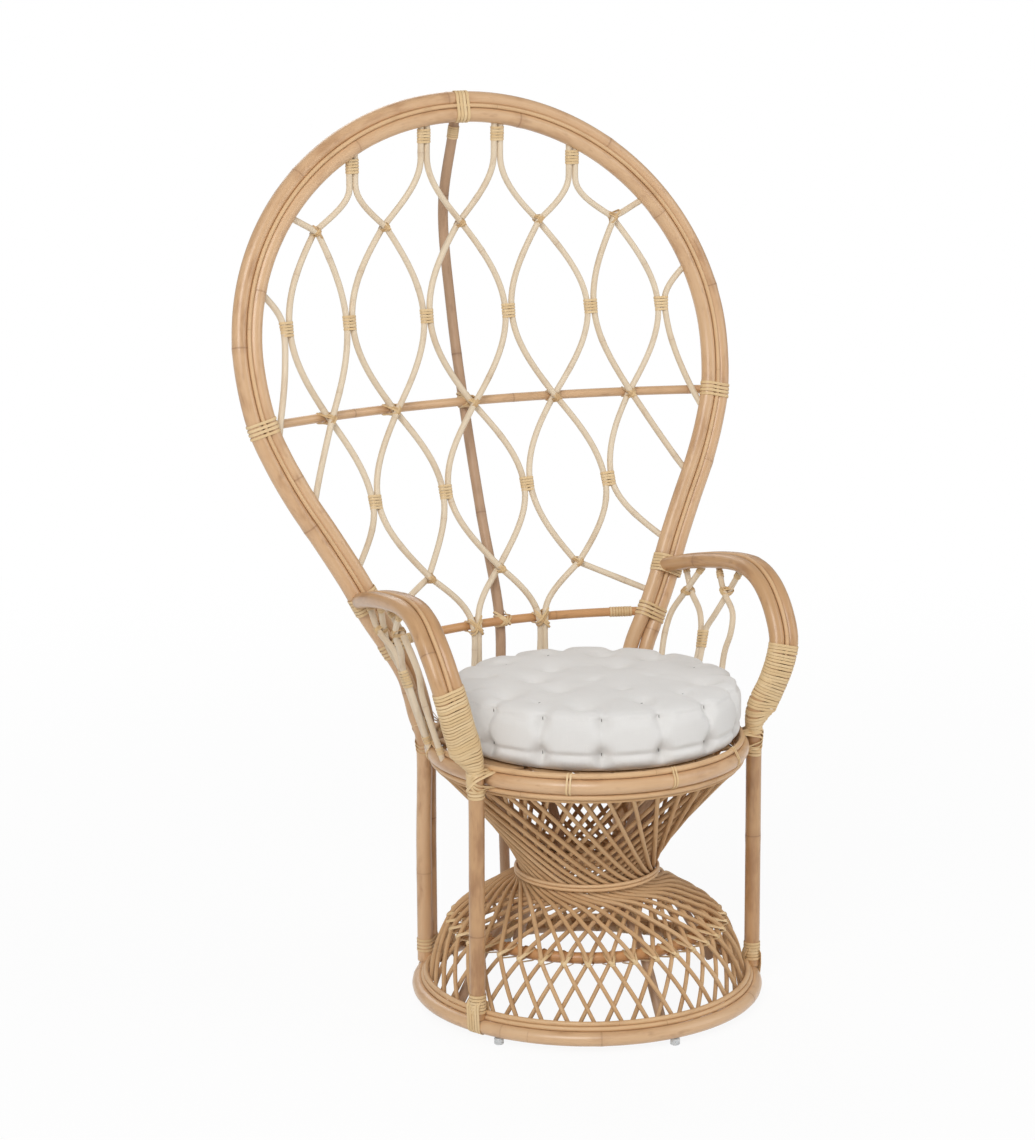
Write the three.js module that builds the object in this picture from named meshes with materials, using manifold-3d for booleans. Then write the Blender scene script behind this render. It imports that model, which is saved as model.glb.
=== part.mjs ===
// Peacock chair in rattan with a loose round cushion: a wide round hoop back with a cane lattice,
// two curved arms, a ring seat and an hourglass base of slanted canes.
// Millimetres, +Z up, the sitter faces -Y. The floor is at Z = 0.

import * as THREE from 'three';
import { mergeVertices } from 'three/addons/utils/BufferGeometryUtils.js';
import Module from 'manifold-3d';

const wasm = await Module();
wasm.setup();

// Driving dimensions
const FIT_GAP = 0.3;                 // between pieces that touch
const POLE_DIAMETER = 25;            // hoop, legs and arms
const GROOVE_CANE_DIAMETER = 7;      // thin cane laid in the groove of a double pole
const LATTICE_CANE_DIAMETER = 10.5;
const ARM_CANE_DIAMETER = 10;
const WEAVE_CANE_DIAMETER = 7;
const CROSS_BAR_DIAMETER = 15;
const SPINE_DIAMETER = 17;

const BASE_RING_RADIUS = 271.5;       // centre line
const BASE_RING_DIAMETER = 22;
const BASE_TRIM_DIAMETER = 8;
const GLIDE_HEIGHT = 10;
const GLIDE_DIAMETER = 15;
const GLIDE_COUNT = 6;

const SEAT_RING_RADIUS = 246.5;        // centre line
const SEAT_RING_DIAMETER = 24;
const SEAT_RING_HEIGHT = 414;        // centre line above the floor
const SEAT_TRIM_DIAMETER = 8.5;
const DECK_SLAT_WIDTH = 22;
const DECK_SLAT_PITCH = 48;
const DECK_SLAT_THICKNESS = 5;
const DECK_INSET = 9;                 // of the slats' ends from the seat ring's centre line
const DECK_BATTEN_WIDTH = 22;

const WEAVE_COUNT = 38;              // canes of each hand
const WAIST_RADIUS = 110;            // centre line of the outer canes
const WAIST_HEIGHT = 211;
const NECK_HEIGHT = 30;              // upright stretch at the waist
const WAIST_BAND_DIAMETER = 6;
const WEAVE_REACH = 106;             // closest approach of a cane to the axis, seen from above
const INNER_RING_DIAMETER = 18;
const INNER_RING_HEIGHT = 124;
const POST_DIAMETER = 16;
const POST_COUNT = 4;
const SKIRT_TWIST = 10;              // degrees that a cane turns on below the inner ring
const KNOT_AZIMUTH = -29.5;          // one of the crossings on the inner ring

const FRONT_LEG_AZIMUTH = 68.5;      // degrees from the front, on either side
const REAR_LEG_AZIMUTH = 135.5;

const HOOP_HALF_WIDTH = 431.5;        // to the middle of the double pole
const HOOP_TOP_HEIGHT = 1402;
const HOOP_WIDEST_HEIGHT = 1014;
const HOOP_SETBACK = 199;            // behind the seat centre, at the lower bar
const HOOP_LEAN_DEGREES = 14.3;      // from upright
const LOWER_BAR_HEIGHT = 563;
const BACK_BOW = 85;                 // how far the lattice bows behind the hoop
const LATTICE_PITCH = 142;

const ARM_SPREAD = 309;              // middle of the double pole, from the chair's centre plane
const ARM_HEIGHT = 674;
const ARM_FRONT = 120;               // reach in front of the seat centre
const ARM_WRAP_THICKNESS = 2.5;
const ARM_WRAP_RISE = 151;           // top of the wrap above the seat ring's centre line
const ARM_WRAP_FOOT_RISE = 10;
const RIGHT_ARM_TUCK = 12;           // how much nearer the centre the right arm's front is

const CUSHION_INSET = 12.5;           // of its edge from the seat ring's centre line
const CUSHION_THICKNESS = 103;
const CUSHION_CROWN = 7;
const CUSHION_SHIFT_X = 12;          // the loose cushion lies a little off centre
const CUSHION_SHIFT_Y = -2;
const TUFT_DEPTH = 9;
const PINCH_DEPTH = 6;
const PINCH_COUNT = 15;
const TUFT_COUNT = 8;

// Counts of facets
const POLE_SIDES = 8;
const CANE_SIDES = 4;
const WEAVE_SIDES = 3;
const BRACE_SIDES = 6;               // bars, spine, posts and the inner ring
const RING_STEPS = 36;
const FINE_RING_STEPS = 24;

// Worked out from the driving dimensions
const poleRadius = POLE_DIAMETER / 2;
const pairOffset = poleRadius + FIT_GAP * 1.5;
const baseRingHeight = GLIDE_HEIGHT + FIT_GAP + BASE_RING_DIAMETER / 2;
const seatRingTop = SEAT_RING_HEIGHT + SEAT_RING_DIAMETER / 2;
const legSeatRadius = SEAT_RING_RADIUS + SEAT_RING_DIAMETER / 2 + FIT_GAP + poleRadius;
const legFootHeight = baseRingHeight + BASE_RING_DIAMETER / 2 + FIT_GAP;
const leanTangent = Math.tan(THREE.MathUtils.degToRad(HOOP_LEAN_DEGREES));
const leanCosine = Math.cos(THREE.MathUtils.degToRad(HOOP_LEAN_DEGREES));
const latticeSpan = HOOP_TOP_HEIGHT - LOWER_BAR_HEIGHT;
const cushionRadius = SEAT_RING_RADIUS - CUSHION_INSET;
const armWrapTop = SEAT_RING_HEIGHT + ARM_WRAP_RISE;
const armWrapFoot = SEAT_RING_HEIGHT + ARM_WRAP_FOOT_RISE;

// Finishes
const finishes = {
  pole: { color: 0xcfa67c, roughness: 0.55, metalness: 0 },
  cane: { color: 0xdfc6a2, roughness: 0.65, metalness: 0 },
  bar: { color: 0xc48f5a, roughness: 0.5, metalness: 0 },
  weave: { color: 0xc8a075, roughness: 0.6, metalness: 0 },
  binding: { color: 0xdcbd8c, roughness: 0.7, metalness: 0 },
  deck: { color: 0xc9a880, roughness: 0.7, metalness: 0 },
  linen: { color: 0xe0dedb, roughness: 0.95, metalness: 0 },
  glide: { color: 0xd9dee0, roughness: 0.35, metalness: 0 },
};

const chair = new THREE.Group();

function addPiece(name, geometry, finish) {
  const mesh = new THREE.Mesh(geometry, new THREE.MeshStandardMaterial(finishes[finish]));
  mesh.name = name;
  chair.add(mesh);
}

// Path, section and solid helpers

// A path that is sampled exactly at its own points.
class PathThrough extends THREE.Curve {
  constructor(points) {
    super();
    this.points = points;
  }

  getPoint(t, target = new THREE.Vector3()) {
    const place = t * (this.points.length - 1);
    const index = Math.min(Math.floor(place), this.points.length - 2);
    return target.lerpVectors(this.points[index], this.points[index + 1], place - index);
  }

  getPointAt(u, target) {
    return this.getPoint(u, target);
  }

  getTangentAt(u, target = new THREE.Vector3()) {
    const index = Math.round(u * (this.points.length - 1));
    const before = this.points[Math.max(index - 1, 0)];
    const after = this.points[Math.min(index + 1, this.points.length - 1)];
    return target.subVectors(after, before).normalize();
  }
}

function roundSection(radius, sides) {
  const shape = new THREE.Shape();
  for (let side = 0; side < sides; side += 1) {
    const angle = (2 * Math.PI * (side + 1 / 2)) / sides;
    const place = [radius * Math.cos(angle), radius * Math.sin(angle)];
    if (side === 0) shape.moveTo(...place);
    else shape.lineTo(...place);
  }
  shape.closePath();
  return shape;
}

function sweep(points, radius, sides) {
  return new THREE.ExtrudeGeometry(roundSection(radius, sides), {
    steps: points.length - 1,
    bevelEnabled: false,
    extrudePath: new PathThrough(points),
  });
}

// A smooth curve through a few points, sampled evenly.
function smooth(points, steps) {
  return new THREE.CatmullRomCurve3(points, false, 'centripetal').getSpacedPoints(steps);
}

function ring(radius, tubeRadius, height, sides, steps) {
  return new THREE.TorusGeometry(radius, tubeRadius, sides, steps).translate(0, 0, height);
}

function solidOf(geometry) {
  const bare = geometry.clone();
  bare.deleteAttribute('normal');
  bare.deleteAttribute('uv');
  const merged = mergeVertices(bare, FIT_GAP / 1000);
  return new wasm.Manifold(new wasm.Mesh({
    numProp: 3,
    vertProperties: new Float32Array(merged.attributes.position.array),
    triVerts: new Uint32Array(merged.index.array),
  }));
}

function geometryOf(solid) {
  const mesh = solid.getMesh();
  const geometry = new THREE.BufferGeometry();
  geometry.setAttribute('position', new THREE.BufferAttribute(mesh.vertProperties, 3));
  geometry.setIndex(new THREE.BufferAttribute(mesh.triVerts, 1));
  geometry.computeVertexNormals();
  return geometry;
}

function cutBy(geometry, cutters) {
  return geometryOf(cutters.reduce((solid, cutter) => solid.subtract(cutter), solidOf(geometry)));
}

function joined(geometries) {
  return geometryOf(geometries.map(solidOf).reduce((whole, solid) => whole.add(solid)));
}

// A place on a circle round the chair's axis, the azimuth counted from the front towards +X.
function around(radius, azimuth, height) {
  const angle = THREE.MathUtils.degToRad(azimuth);
  return new THREE.Vector3(radius * Math.sin(angle), -radius * Math.cos(angle), height);
}

// A value read from a table of [place, value] rows that is straight between them.
function readTable(table, place) {
  let index = 0;
  while (index < table.length - 2 && place > table[index + 1][0]) index += 1;
  const [start, low] = table[index];
  const [end, high] = table[index + 1];
  const share = THREE.MathUtils.clamp((place - start) / (end - start), 0, 1);
  return THREE.MathUtils.lerp(low, high, share);
}

function mirrored(points) {
  return points.map((point) => new THREE.Vector3(-point.x, point.y, point.z));
}

// Base: floor ring on glides, with two trim canes on its inner shoulder

addPiece('base_ring', ring(BASE_RING_RADIUS, BASE_RING_DIAMETER / 2, baseRingHeight,
  POLE_SIDES, RING_STEPS), 'pole');

const trimRadius = BASE_TRIM_DIAMETER / 2;
const trimInset = BASE_RING_DIAMETER * 0.34;
const trimReach = BASE_RING_DIAMETER / 2 + trimRadius + FIT_GAP;
const lowerTrim = {
  radius: BASE_RING_RADIUS - trimInset,
  height: baseRingHeight + Math.sqrt(trimReach ** 2 - trimInset ** 2),
};
const trimStep = BASE_TRIM_DIAMETER + FIT_GAP;
const upperTrim = {
  radius: lowerTrim.radius - trimStep * 0.5,
  height: lowerTrim.height + trimStep * 0.87,
};
addPiece('base_trim_lower', ring(lowerTrim.radius, trimRadius, lowerTrim.height,
  CANE_SIDES, RING_STEPS), 'cane');
addPiece('base_trim_upper', ring(upperTrim.radius, trimRadius, upperTrim.height,
  CANE_SIDES, RING_STEPS), 'cane');

const glideHalf = GLIDE_DIAMETER / 2;
const glideProfileShares = [[0, 0], [0.7, 0], [1, 0.3], [1, 0.7], [0.8, 1], [0, 1]];
for (let index = 0; index < GLIDE_COUNT; index += 1) {
  const profile = glideProfileShares.map(([across, up]) => (
    new THREE.Vector2(across * glideHalf, up * GLIDE_HEIGHT)));
  const place = around(BASE_RING_RADIUS, (360 * index) / GLIDE_COUNT, 0);
  const glide = new THREE.LatheGeometry(profile, 6).rotateX(Math.PI / 2);
  addPiece(`glide_${index + 1}`, glide.translate(place.x, place.y, 0), 'glide');
}

// Seat: main ring, a thin cane on top and one below, and a deck of slats under the cushion

addPiece('seat_ring', ring(SEAT_RING_RADIUS, SEAT_RING_DIAMETER / 2, SEAT_RING_HEIGHT,
  POLE_SIDES, RING_STEPS), 'pole');
const seatTrimStep = SEAT_RING_DIAMETER / 2 + FIT_GAP + SEAT_TRIM_DIAMETER / 2;
addPiece('seat_trim_upper', ring(SEAT_RING_RADIUS, SEAT_TRIM_DIAMETER / 2,
  SEAT_RING_HEIGHT + seatTrimStep, CANE_SIDES, RING_STEPS), 'cane');
addPiece('seat_trim_lower', ring(SEAT_RING_RADIUS, SEAT_TRIM_DIAMETER / 2,
  SEAT_RING_HEIGHT - seatTrimStep, CANE_SIDES, RING_STEPS), 'cane');

const deckRadius = SEAT_RING_RADIUS - DECK_INSET;
const deckRest = SEAT_RING_DIAMETER / 2 + FIT_GAP;
const deckBottom = SEAT_RING_HEIGHT
  + Math.sqrt(deckRest ** 2 - (SEAT_RING_RADIUS - deckRadius) ** 2) + FIT_GAP;
const deckTop = deckBottom + DECK_SLAT_THICKNESS;
const deckSlats = [];
const slatsEachSide = Math.floor((deckRadius - DECK_SLAT_WIDTH) / DECK_SLAT_PITCH);
for (let across = -slatsEachSide; across <= slatsEachSide; across += 1) {
  const middle = across * DECK_SLAT_PITCH;
  const outerEdge = Math.abs(middle) + DECK_SLAT_WIDTH / 2;
  const half = Math.sqrt(deckRadius ** 2 - outerEdge ** 2);
  deckSlats.push(new THREE.BoxGeometry(DECK_SLAT_WIDTH, 2 * half, DECK_SLAT_THICKNESS)
    .translate(middle, 0, deckBottom + DECK_SLAT_THICKNESS / 2));
}
const battenPlace = deckRadius * 0.36;
const battenRoom = SEAT_RING_RADIUS - SEAT_RING_DIAMETER / 2 - 5 * FIT_GAP;
const battenReach = Math.sqrt(battenRoom ** 2 - (battenPlace + DECK_BATTEN_WIDTH / 2) ** 2);
for (const side of [-1, 1]) {
  deckSlats.push(new THREE.BoxGeometry(2 * battenReach, DECK_BATTEN_WIDTH, 2 * DECK_SLAT_THICKNESS)
    .translate(0, side * battenPlace, deckBottom));
}
addPiece('seat_deck', joined(deckSlats), 'deck');

// Hourglass weave: straight canes slanting one way outside and the other way inside

const weaveRadius = WEAVE_CANE_DIAMETER / 2;
const weaveFoot = new THREE.Vector2(
  BASE_RING_RADIUS - BASE_RING_DIAMETER / 2 - 2 * FIT_GAP - weaveRadius, baseRingHeight);
const weaveHead = new THREE.Vector2(
  SEAT_RING_RADIUS - WEAVE_CANE_DIAMETER * 0.7, SEAT_RING_HEIGHT - seatTrimStep - WEAVE_CANE_DIAMETER);
// Skirt as shares: [out from the neck to the foot, down from the neck to the foot]
const skirtShares = [[0.18, 0.057], [0.38, 0.16], [0.72, 0.36], [0.895, 0.635], [1, 1]];

function weaveProfile() {
  const neckTop = new THREE.Vector2(WAIST_RADIUS, WAIST_HEIGHT + NECK_HEIGHT / 2);
  const neckFoot = new THREE.Vector2(WAIST_RADIUS, WAIST_HEIGHT - NECK_HEIGHT / 2);
  const skirt = skirtShares.map(([out, down]) => new THREE.Vector2(
    THREE.MathUtils.lerp(neckFoot.x, weaveFoot.x, out),
    THREE.MathUtils.lerp(neckFoot.y, weaveFoot.y, down)));
  return [weaveHead, neckTop, neckFoot, ...skirt];
}

// The profile moved inwards, square to itself.
function insetProfile(profile, inset) {
  return profile.map((point, index) => {
    const before = profile[Math.max(index - 1, 0)];
    const after = profile[Math.min(index + 1, profile.length - 1)];
    const along = new THREE.Vector2().subVectors(after, before).normalize();
    return new THREE.Vector2(point.x + along.y * inset, point.y - along.x * inset);
  });
}

function profileRadiusAt(profile, height) {
  const rows = profile.map((point) => [point.y, point.x]).reverse();
  return readTable(rows, height);
}

// Degrees round the axis from a cane's closest approach to a place on it. Seen from above it is one
// straight line down to the inner ring, and it slants on from there to the foot.
function weaveTurn(point, reach) {
  const turn = THREE.MathUtils.radToDeg(Math.acos(reach / point.x));
  const below = (INNER_RING_HEIGHT - point.y) / (INNER_RING_HEIGHT - weaveFoot.y);
  return turn + SKIRT_TWIST * Math.max(below, 0);
}

function weaveCane(profile, reach, hand, azimuth) {
  return profile.map((point, index) => {
    const turn = weaveTurn(point, reach);
    return around(point.x, azimuth + hand * (index < 2 ? -turn : turn), point.y);
  });
}

function weaveLayer(inset, hand, rimRadius, rimHeight) {
  const profile = insetProfile(weaveProfile(), inset);
  const reach = WEAVE_REACH - inset;
  const solids = [ring(rimRadius, weaveRadius, rimHeight, WEAVE_SIDES, WEAVE_COUNT)];
  const knot = new THREE.Vector2(profileRadiusAt(profile.slice(2), INNER_RING_HEIGHT), INNER_RING_HEIGHT);
  const start = KNOT_AZIMUTH - hand * weaveTurn(knot, reach);
  for (let index = 0; index < WEAVE_COUNT; index += 1) {
    const path = weaveCane(profile, reach, hand, start + (360 * index) / WEAVE_COUNT);
    solids.push(sweep(path, weaveRadius, WEAVE_SIDES));
  }
  return joined(solids);
}

const layerInset = WEAVE_CANE_DIAMETER * 1.25;
addPiece('weave_outer', weaveLayer(0, 1, weaveHead.x, weaveHead.y), 'weave');
const innerHead = insetProfile(weaveProfile(), layerInset)[0];
addPiece('weave_inner', weaveLayer(layerInset, -1, innerHead.x, innerHead.y), 'weave');

const bandRadius = WEAVE_REACH + weaveRadius + WAIST_BAND_DIAMETER / 2 + FIT_GAP * 5;
const bandStep = (WAIST_BAND_DIAMETER + FIT_GAP) / 2;
addPiece('waist_band_upper', ring(bandRadius, WAIST_BAND_DIAMETER / 2,
  WAIST_HEIGHT + bandStep, CANE_SIDES, FINE_RING_STEPS), 'cane');
addPiece('waist_band_lower', ring(bandRadius, WAIST_BAND_DIAMETER / 2,
  WAIST_HEIGHT - bandStep, CANE_SIDES, FINE_RING_STEPS), 'cane');

// Inside the skirt: a ring that the canes are knotted to, on bent posts up to the seat

const innerProfile = insetProfile(weaveProfile(), layerInset);
const ringClearance = (weaveRadius + FIT_GAP + INNER_RING_DIAMETER / 2) * 1.44;
const innerRingRadius = profileRadiusAt(innerProfile.slice(2), INNER_RING_HEIGHT) - ringClearance;
addPiece('inner_ring', ring(innerRingRadius, INNER_RING_DIAMETER / 2, INNER_RING_HEIGHT,
  BRACE_SIDES, FINE_RING_STEPS), 'pole');

const postRadius = POST_DIAMETER / 2;
const postInset = layerInset + weaveRadius + FIT_GAP + postRadius;
const postRingRadius = innerRingRadius - (INNER_RING_DIAMETER / 2 + FIT_GAP + postRadius) * 1.18;

// The funnel's middle line bends in between its two ends, because its canes are straight.
function funnelPlace(share) {
  const reachOf = (radius) => Math.sqrt(radius ** 2 - WEAVE_REACH ** 2);
  const along = THREE.MathUtils.lerp(reachOf(WAIST_RADIUS), reachOf(weaveHead.x), share);
  const height = THREE.MathUtils.lerp(WAIST_HEIGHT + NECK_HEIGHT / 2, weaveHead.y, share);
  return new THREE.Vector2(Math.hypot(along, WEAVE_REACH), height);
}
const postGuide = [funnelPlace(0.9), funnelPlace(0.6), funnelPlace(0.3), ...weaveProfile().slice(1)];
const postProfile = insetProfile(postGuide, postInset * 1.15).slice(0, 6);
const postPlan = [
  [SEAT_RING_RADIUS - SEAT_RING_DIAMETER / 2 - FIT_GAP - postRadius, SEAT_RING_HEIGHT],
  ...postProfile.map((point) => [point.x, point.y]),
  [postRingRadius, INNER_RING_HEIGHT],
  [BASE_RING_RADIUS - BASE_RING_DIAMETER / 2 - FIT_GAP - postInset * 1.2, GLIDE_HEIGHT + postRadius],
];
for (let index = 0; index < POST_COUNT; index += 1) {
  const path = postPlan.map(([radius, height]) => around(radius, (360 * index) / POST_COUNT, height));
  addPiece(`inner_post_${index + 1}`, sweep(smooth(path, 16), postRadius, BRACE_SIDES), 'pole');
}

// Hoop: two poles side by side, bent into a round back, that run down as the rear legs

function hoopPlaneY(height) {
  return HOOP_SETBACK + (height - LOWER_BAR_HEIGHT) * leanTangent;
}

// Half width of the hoop, in shares, from the lower bar up to the widest place
const hoopLowerShares = [[0, 0.555], [0.12, 0.628], [0.25, 0.695], [0.4, 0.782], [0.535, 0.864],
  [0.67, 0.931], [0.8, 0.978], [1, 1]];
const UPPER_ARC_STEPS = 10;

function hoopOutline() {
  const upperRise = HOOP_TOP_HEIGHT - HOOP_WIDEST_HEIGHT;
  const lowerRise = HOOP_WIDEST_HEIGHT - LOWER_BAR_HEIGHT;
  const outline = [];
  for (let step = 0; step <= UPPER_ARC_STEPS; step += 1) {
    const angle = (Math.PI / 2) * (1 - step / UPPER_ARC_STEPS);
    outline.push([HOOP_HALF_WIDTH * Math.cos(angle), HOOP_WIDEST_HEIGHT + upperRise * Math.sin(angle)]);
  }
  for (const [up, across] of hoopLowerShares.slice(0, -1).reverse()) {
    outline.push([HOOP_HALF_WIDTH * across, LOWER_BAR_HEIGHT + lowerRise * up]);
  }
  return outline.map(([x, z]) => new THREE.Vector3(x, hoopPlaneY(z), z));
}

const outline = hoopOutline();
const halfWidthTable = outline.map((point) => [point.z, point.x]).reverse();

const legSeat = around(legSeatRadius, REAR_LEG_AZIMUTH, SEAT_RING_HEIGHT);
const legFoot = around(BASE_RING_RADIUS, REAR_LEG_AZIMUTH, legFootHeight);
const kneeShares = [[0.35, 0.5], [0.8, 0.86]];

// Right half of the hoop's middle line, from the top centre to the foot, each place with the
// direction in which the outer pole lies from the middle.
function hoopHalf() {
  const planeNormal = new THREE.Vector3(0, leanTangent, 1).normalize();
  const bar = outline[outline.length - 1];
  const legSide = around(1, REAR_LEG_AZIMUTH - 90, 0);
  const knees = kneeShares.map(([down, along]) => new THREE.Vector3(
    THREE.MathUtils.lerp(bar.x, legSeat.x, along),
    THREE.MathUtils.lerp(bar.y, legSeat.y, along),
    THREE.MathUtils.lerp(bar.z, legSeat.z, down)));
  const middle = legSeat.clone().lerp(legFoot, 0.5);
  const places = [...outline, ...knees, legSeat, middle, legFoot];
  const facing = new THREE.Vector3().crossVectors(new THREE.Vector3(1, 0, 0), planeNormal);
  return places.map((place, index) => {
    if (index >= outline.length + knees.length) return { place, side: legSide };
    const before = places[Math.max(index - 1, 0)];
    const after = places[index + 1];
    const along = index === 0 ? new THREE.Vector3(1, 0, 0) : new THREE.Vector3().subVectors(after, before);
    const side = new THREE.Vector3().crossVectors(facing, along).normalize();
    return { place, side: index >= outline.length ? side.lerp(legSide, 0.6).normalize() : side };
  });
}

const halfHoop = hoopHalf();

function hoopLine(offset) {
  const right = halfHoop.map(({ place, side }) => place.clone().addScaledVector(side, offset));
  return [...mirrored(right).reverse(), ...right.slice(1)];
}

const hoopOuterLine = hoopLine(pairOffset);
const hoopInnerLine = hoopLine(-pairOffset);

// The space of the two trims, taken out of the foot of each leg
function trimNotch() {
  const reach = trimRadius + FIT_GAP;
  const outer = lowerTrim.radius + reach;
  const inner = BASE_RING_RADIUS - POLE_DIAMETER;
  const profile = [
    new THREE.Vector2(inner, 0),
    new THREE.Vector2(outer, 0),
    new THREE.Vector2(outer, lowerTrim.height + reach),
    new THREE.Vector2(upperTrim.radius + reach, upperTrim.height + reach),
    new THREE.Vector2(inner, upperTrim.height + reach),
    new THREE.Vector2(inner, 0),
  ];
  return new THREE.LatheGeometry(profile, RING_STEPS).rotateX(Math.PI / 2);
}
const footCutters = [solidOf(trimNotch())];
addPiece('hoop_outer_pole', cutBy(sweep(hoopOuterLine, poleRadius, POLE_SIDES), footCutters), 'pole');
addPiece('hoop_inner_pole', cutBy(sweep(hoopInnerLine, poleRadius, POLE_SIDES), footCutters), 'pole');

const grooveRadius = GROOVE_CANE_DIAMETER / 2;
const grooveRise = Math.sqrt((poleRadius + FIT_GAP + grooveRadius) ** 2 - pairOffset ** 2) + FIT_GAP;
function hoopGrooveLine() {
  const planeFront = new THREE.Vector3(0, -leanCosine, leanCosine * leanTangent);
  const reach = halfHoop.slice(0, outline.length);
  const right = reach.map(({ place }) => place.clone().addScaledVector(planeFront, grooveRise));
  return [...mirrored(right).reverse(), ...right.slice(1)];
}
const grooveLine = hoopGrooveLine();
addPiece('hoop_groove_cane', sweep(grooveLine, grooveRadius, CANE_SIDES), 'cane');

// Back surface: the hoop's plane, bowed backwards between its sides

// Depth of the bow, in shares, by height from the lower bar to the hoop's top
const bowShares = [[0, 0.62], [0.1, 0.74], [0.256, 0.93], [0.42, 1], [0.6, 0.78], [0.77, 0.62],
  [0.93, 0.2], [1, 0]];

function backPoint(x, height, depth) {
  const halfWidth = readTable(halfWidthTable, height);
  const bow = BACK_BOW * readTable(bowShares, (height - LOWER_BAR_HEIGHT) / latticeSpan);
  const fullness = Math.max(0, 1 - (x / halfWidth) ** 2);
  return new THREE.Vector3(x, hoopPlaneY(height) + (bow * fullness + depth) / leanCosine, height);
}

const barRadius = CROSS_BAR_DIAMETER / 2;
const barDepth = (poleRadius + barRadius) * 0.94;
const upperBarShare = 0.42;
const upperBarHeight = LOWER_BAR_HEIGHT + latticeSpan * upperBarShare;
const BAR_STEPS = 10;

function crossBar(height) {
  const reach = readTable(halfWidthTable, height) + poleRadius;
  const points = [];
  for (let step = 0; step <= BAR_STEPS; step += 1) {
    points.push(backPoint(THREE.MathUtils.lerp(-reach, reach, step / BAR_STEPS), height, barDepth));
  }
  return sweep(points, barRadius, BRACE_SIDES);
}
addPiece('upper_cross_bar', crossBar(upperBarHeight), 'pole');
addPiece('lower_cross_bar', crossBar(LOWER_BAR_HEIGHT), 'bar');

const spineRadius = SPINE_DIAMETER / 2;
const spineBack = barDepth + barRadius + FIT_GAP + spineRadius;
const spineTopDepth = poleRadius + FIT_GAP + spineRadius;
// Height share from the lower bar, and how far behind the bowed surface the spine stands there
const spineShares = [[0.8, 1.7], [0.6, 1.6], [upperBarShare, 1], [0.2, 0.95], [0, 1]];
function spineLine() {
  const places = [
    backPoint(0, HOOP_TOP_HEIGHT + poleRadius, spineTopDepth),
    backPoint(0, HOOP_TOP_HEIGHT - POLE_DIAMETER, spineTopDepth),
  ];
  for (const [up, back] of spineShares) {
    places.push(backPoint(0, LOWER_BAR_HEIGHT + latticeSpan * up, spineBack * back));
  }
  const lowest = places[places.length - 1];
  places.push(new THREE.Vector3(0, lowest.y, SEAT_RING_HEIGHT));
  places.push(around(BASE_RING_RADIUS, 180, legFootHeight));
  return places;
}
addPiece('spine_pole', cutBy(sweep(smooth(spineLine(), 18), spineRadius, BRACE_SIDES), footCutters), 'pole');

// Lattice: canes that cross and touch by turns across the back

const caneRadius = LATTICE_CANE_DIAMETER / 2;
const layerAllowance = 1.12;
const rearLayer = barDepth - (barRadius + FIT_GAP + caneRadius) * layerAllowance;
const frontLayer = rearLayer - (LATTICE_CANE_DIAMETER + FIT_GAP) * layerAllowance;
const middleLayer = (rearLayer + frontLayer) / 2;
const sideStep = (caneRadius + FIT_GAP / 2) * layerAllowance;
const SEGMENT_STEPS = 3;

// Row heights as shares of the lattice's height
const rowShares = { G: 0, F: 0.103, E: 0.256, D: upperBarShare, C: 0.596, B: 0.773 };

// Each cane of the left half: places as [row, column in pitches, side of a touching pair], with the
// hoop's ends as [share of height, share of the half width there]. The layer is that at crossings.
const leftCanes = [
  { name: 'c1', layer: 'front', top: [0.675, 1], stops: [['C', -2.46, -1]], foot: [0.385, 1] },
  { name: 'c2', layer: 'front', top: [0.81, 1], stops: [['B', -1.95, 0], ['C', -1.59, -1], ['D', -1.98, 0]],
    foot: [0.264, 1] },
  { name: 'c3', layer: 'rear', pairTop: [-1.5, -1],
    stops: [['B', -1.95, 0], ['C', -2.46, 1], ['D', -1.98, 0], ['E', -1.54, -1]], foot: [0.139, 1] },
  { name: 'c4', layer: 'front', pairTop: [-1.5, 1],
    stops: [['B', -1.01, 0], ['C', -0.54, -1], ['D', -1.055, 0], ['E', -1.54, 1], ['F', -0.975, 0],
      ['G', -0.44, -1]],
    seat: true },
  { name: 'c5', layer: 'rear', pairTop: [-0.5, -1],
    stops: [['B', -1.01, 0], ['C', -1.59, 1], ['D', -1.055, 0], ['E', -0.54, -1], ['F', -0.975, 0]],
    foot: [0.042, 1] },
  { name: 'c6', layer: 'front', pairTop: [-0.5, 1],
    stops: [['B', 0, 0], ['C', 0.54, -1], ['D', 0, 0], ['E', -0.54, 1], ['F', 0, 0], ['G', 0.44, -1]],
    seat: true },
];

// Between a crossing and a touching pair a cane runs slanted at the first and upright at the second.
function easeBetween(start, end, share) {
  if (start.upright && end.upright) return (1 - Math.cos(Math.PI * share)) / 2;
  if (end.upright) return Math.sin((Math.PI / 2) * share);
  if (start.upright) return 1 - Math.cos((Math.PI / 2) * share);
  return share;
}

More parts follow.
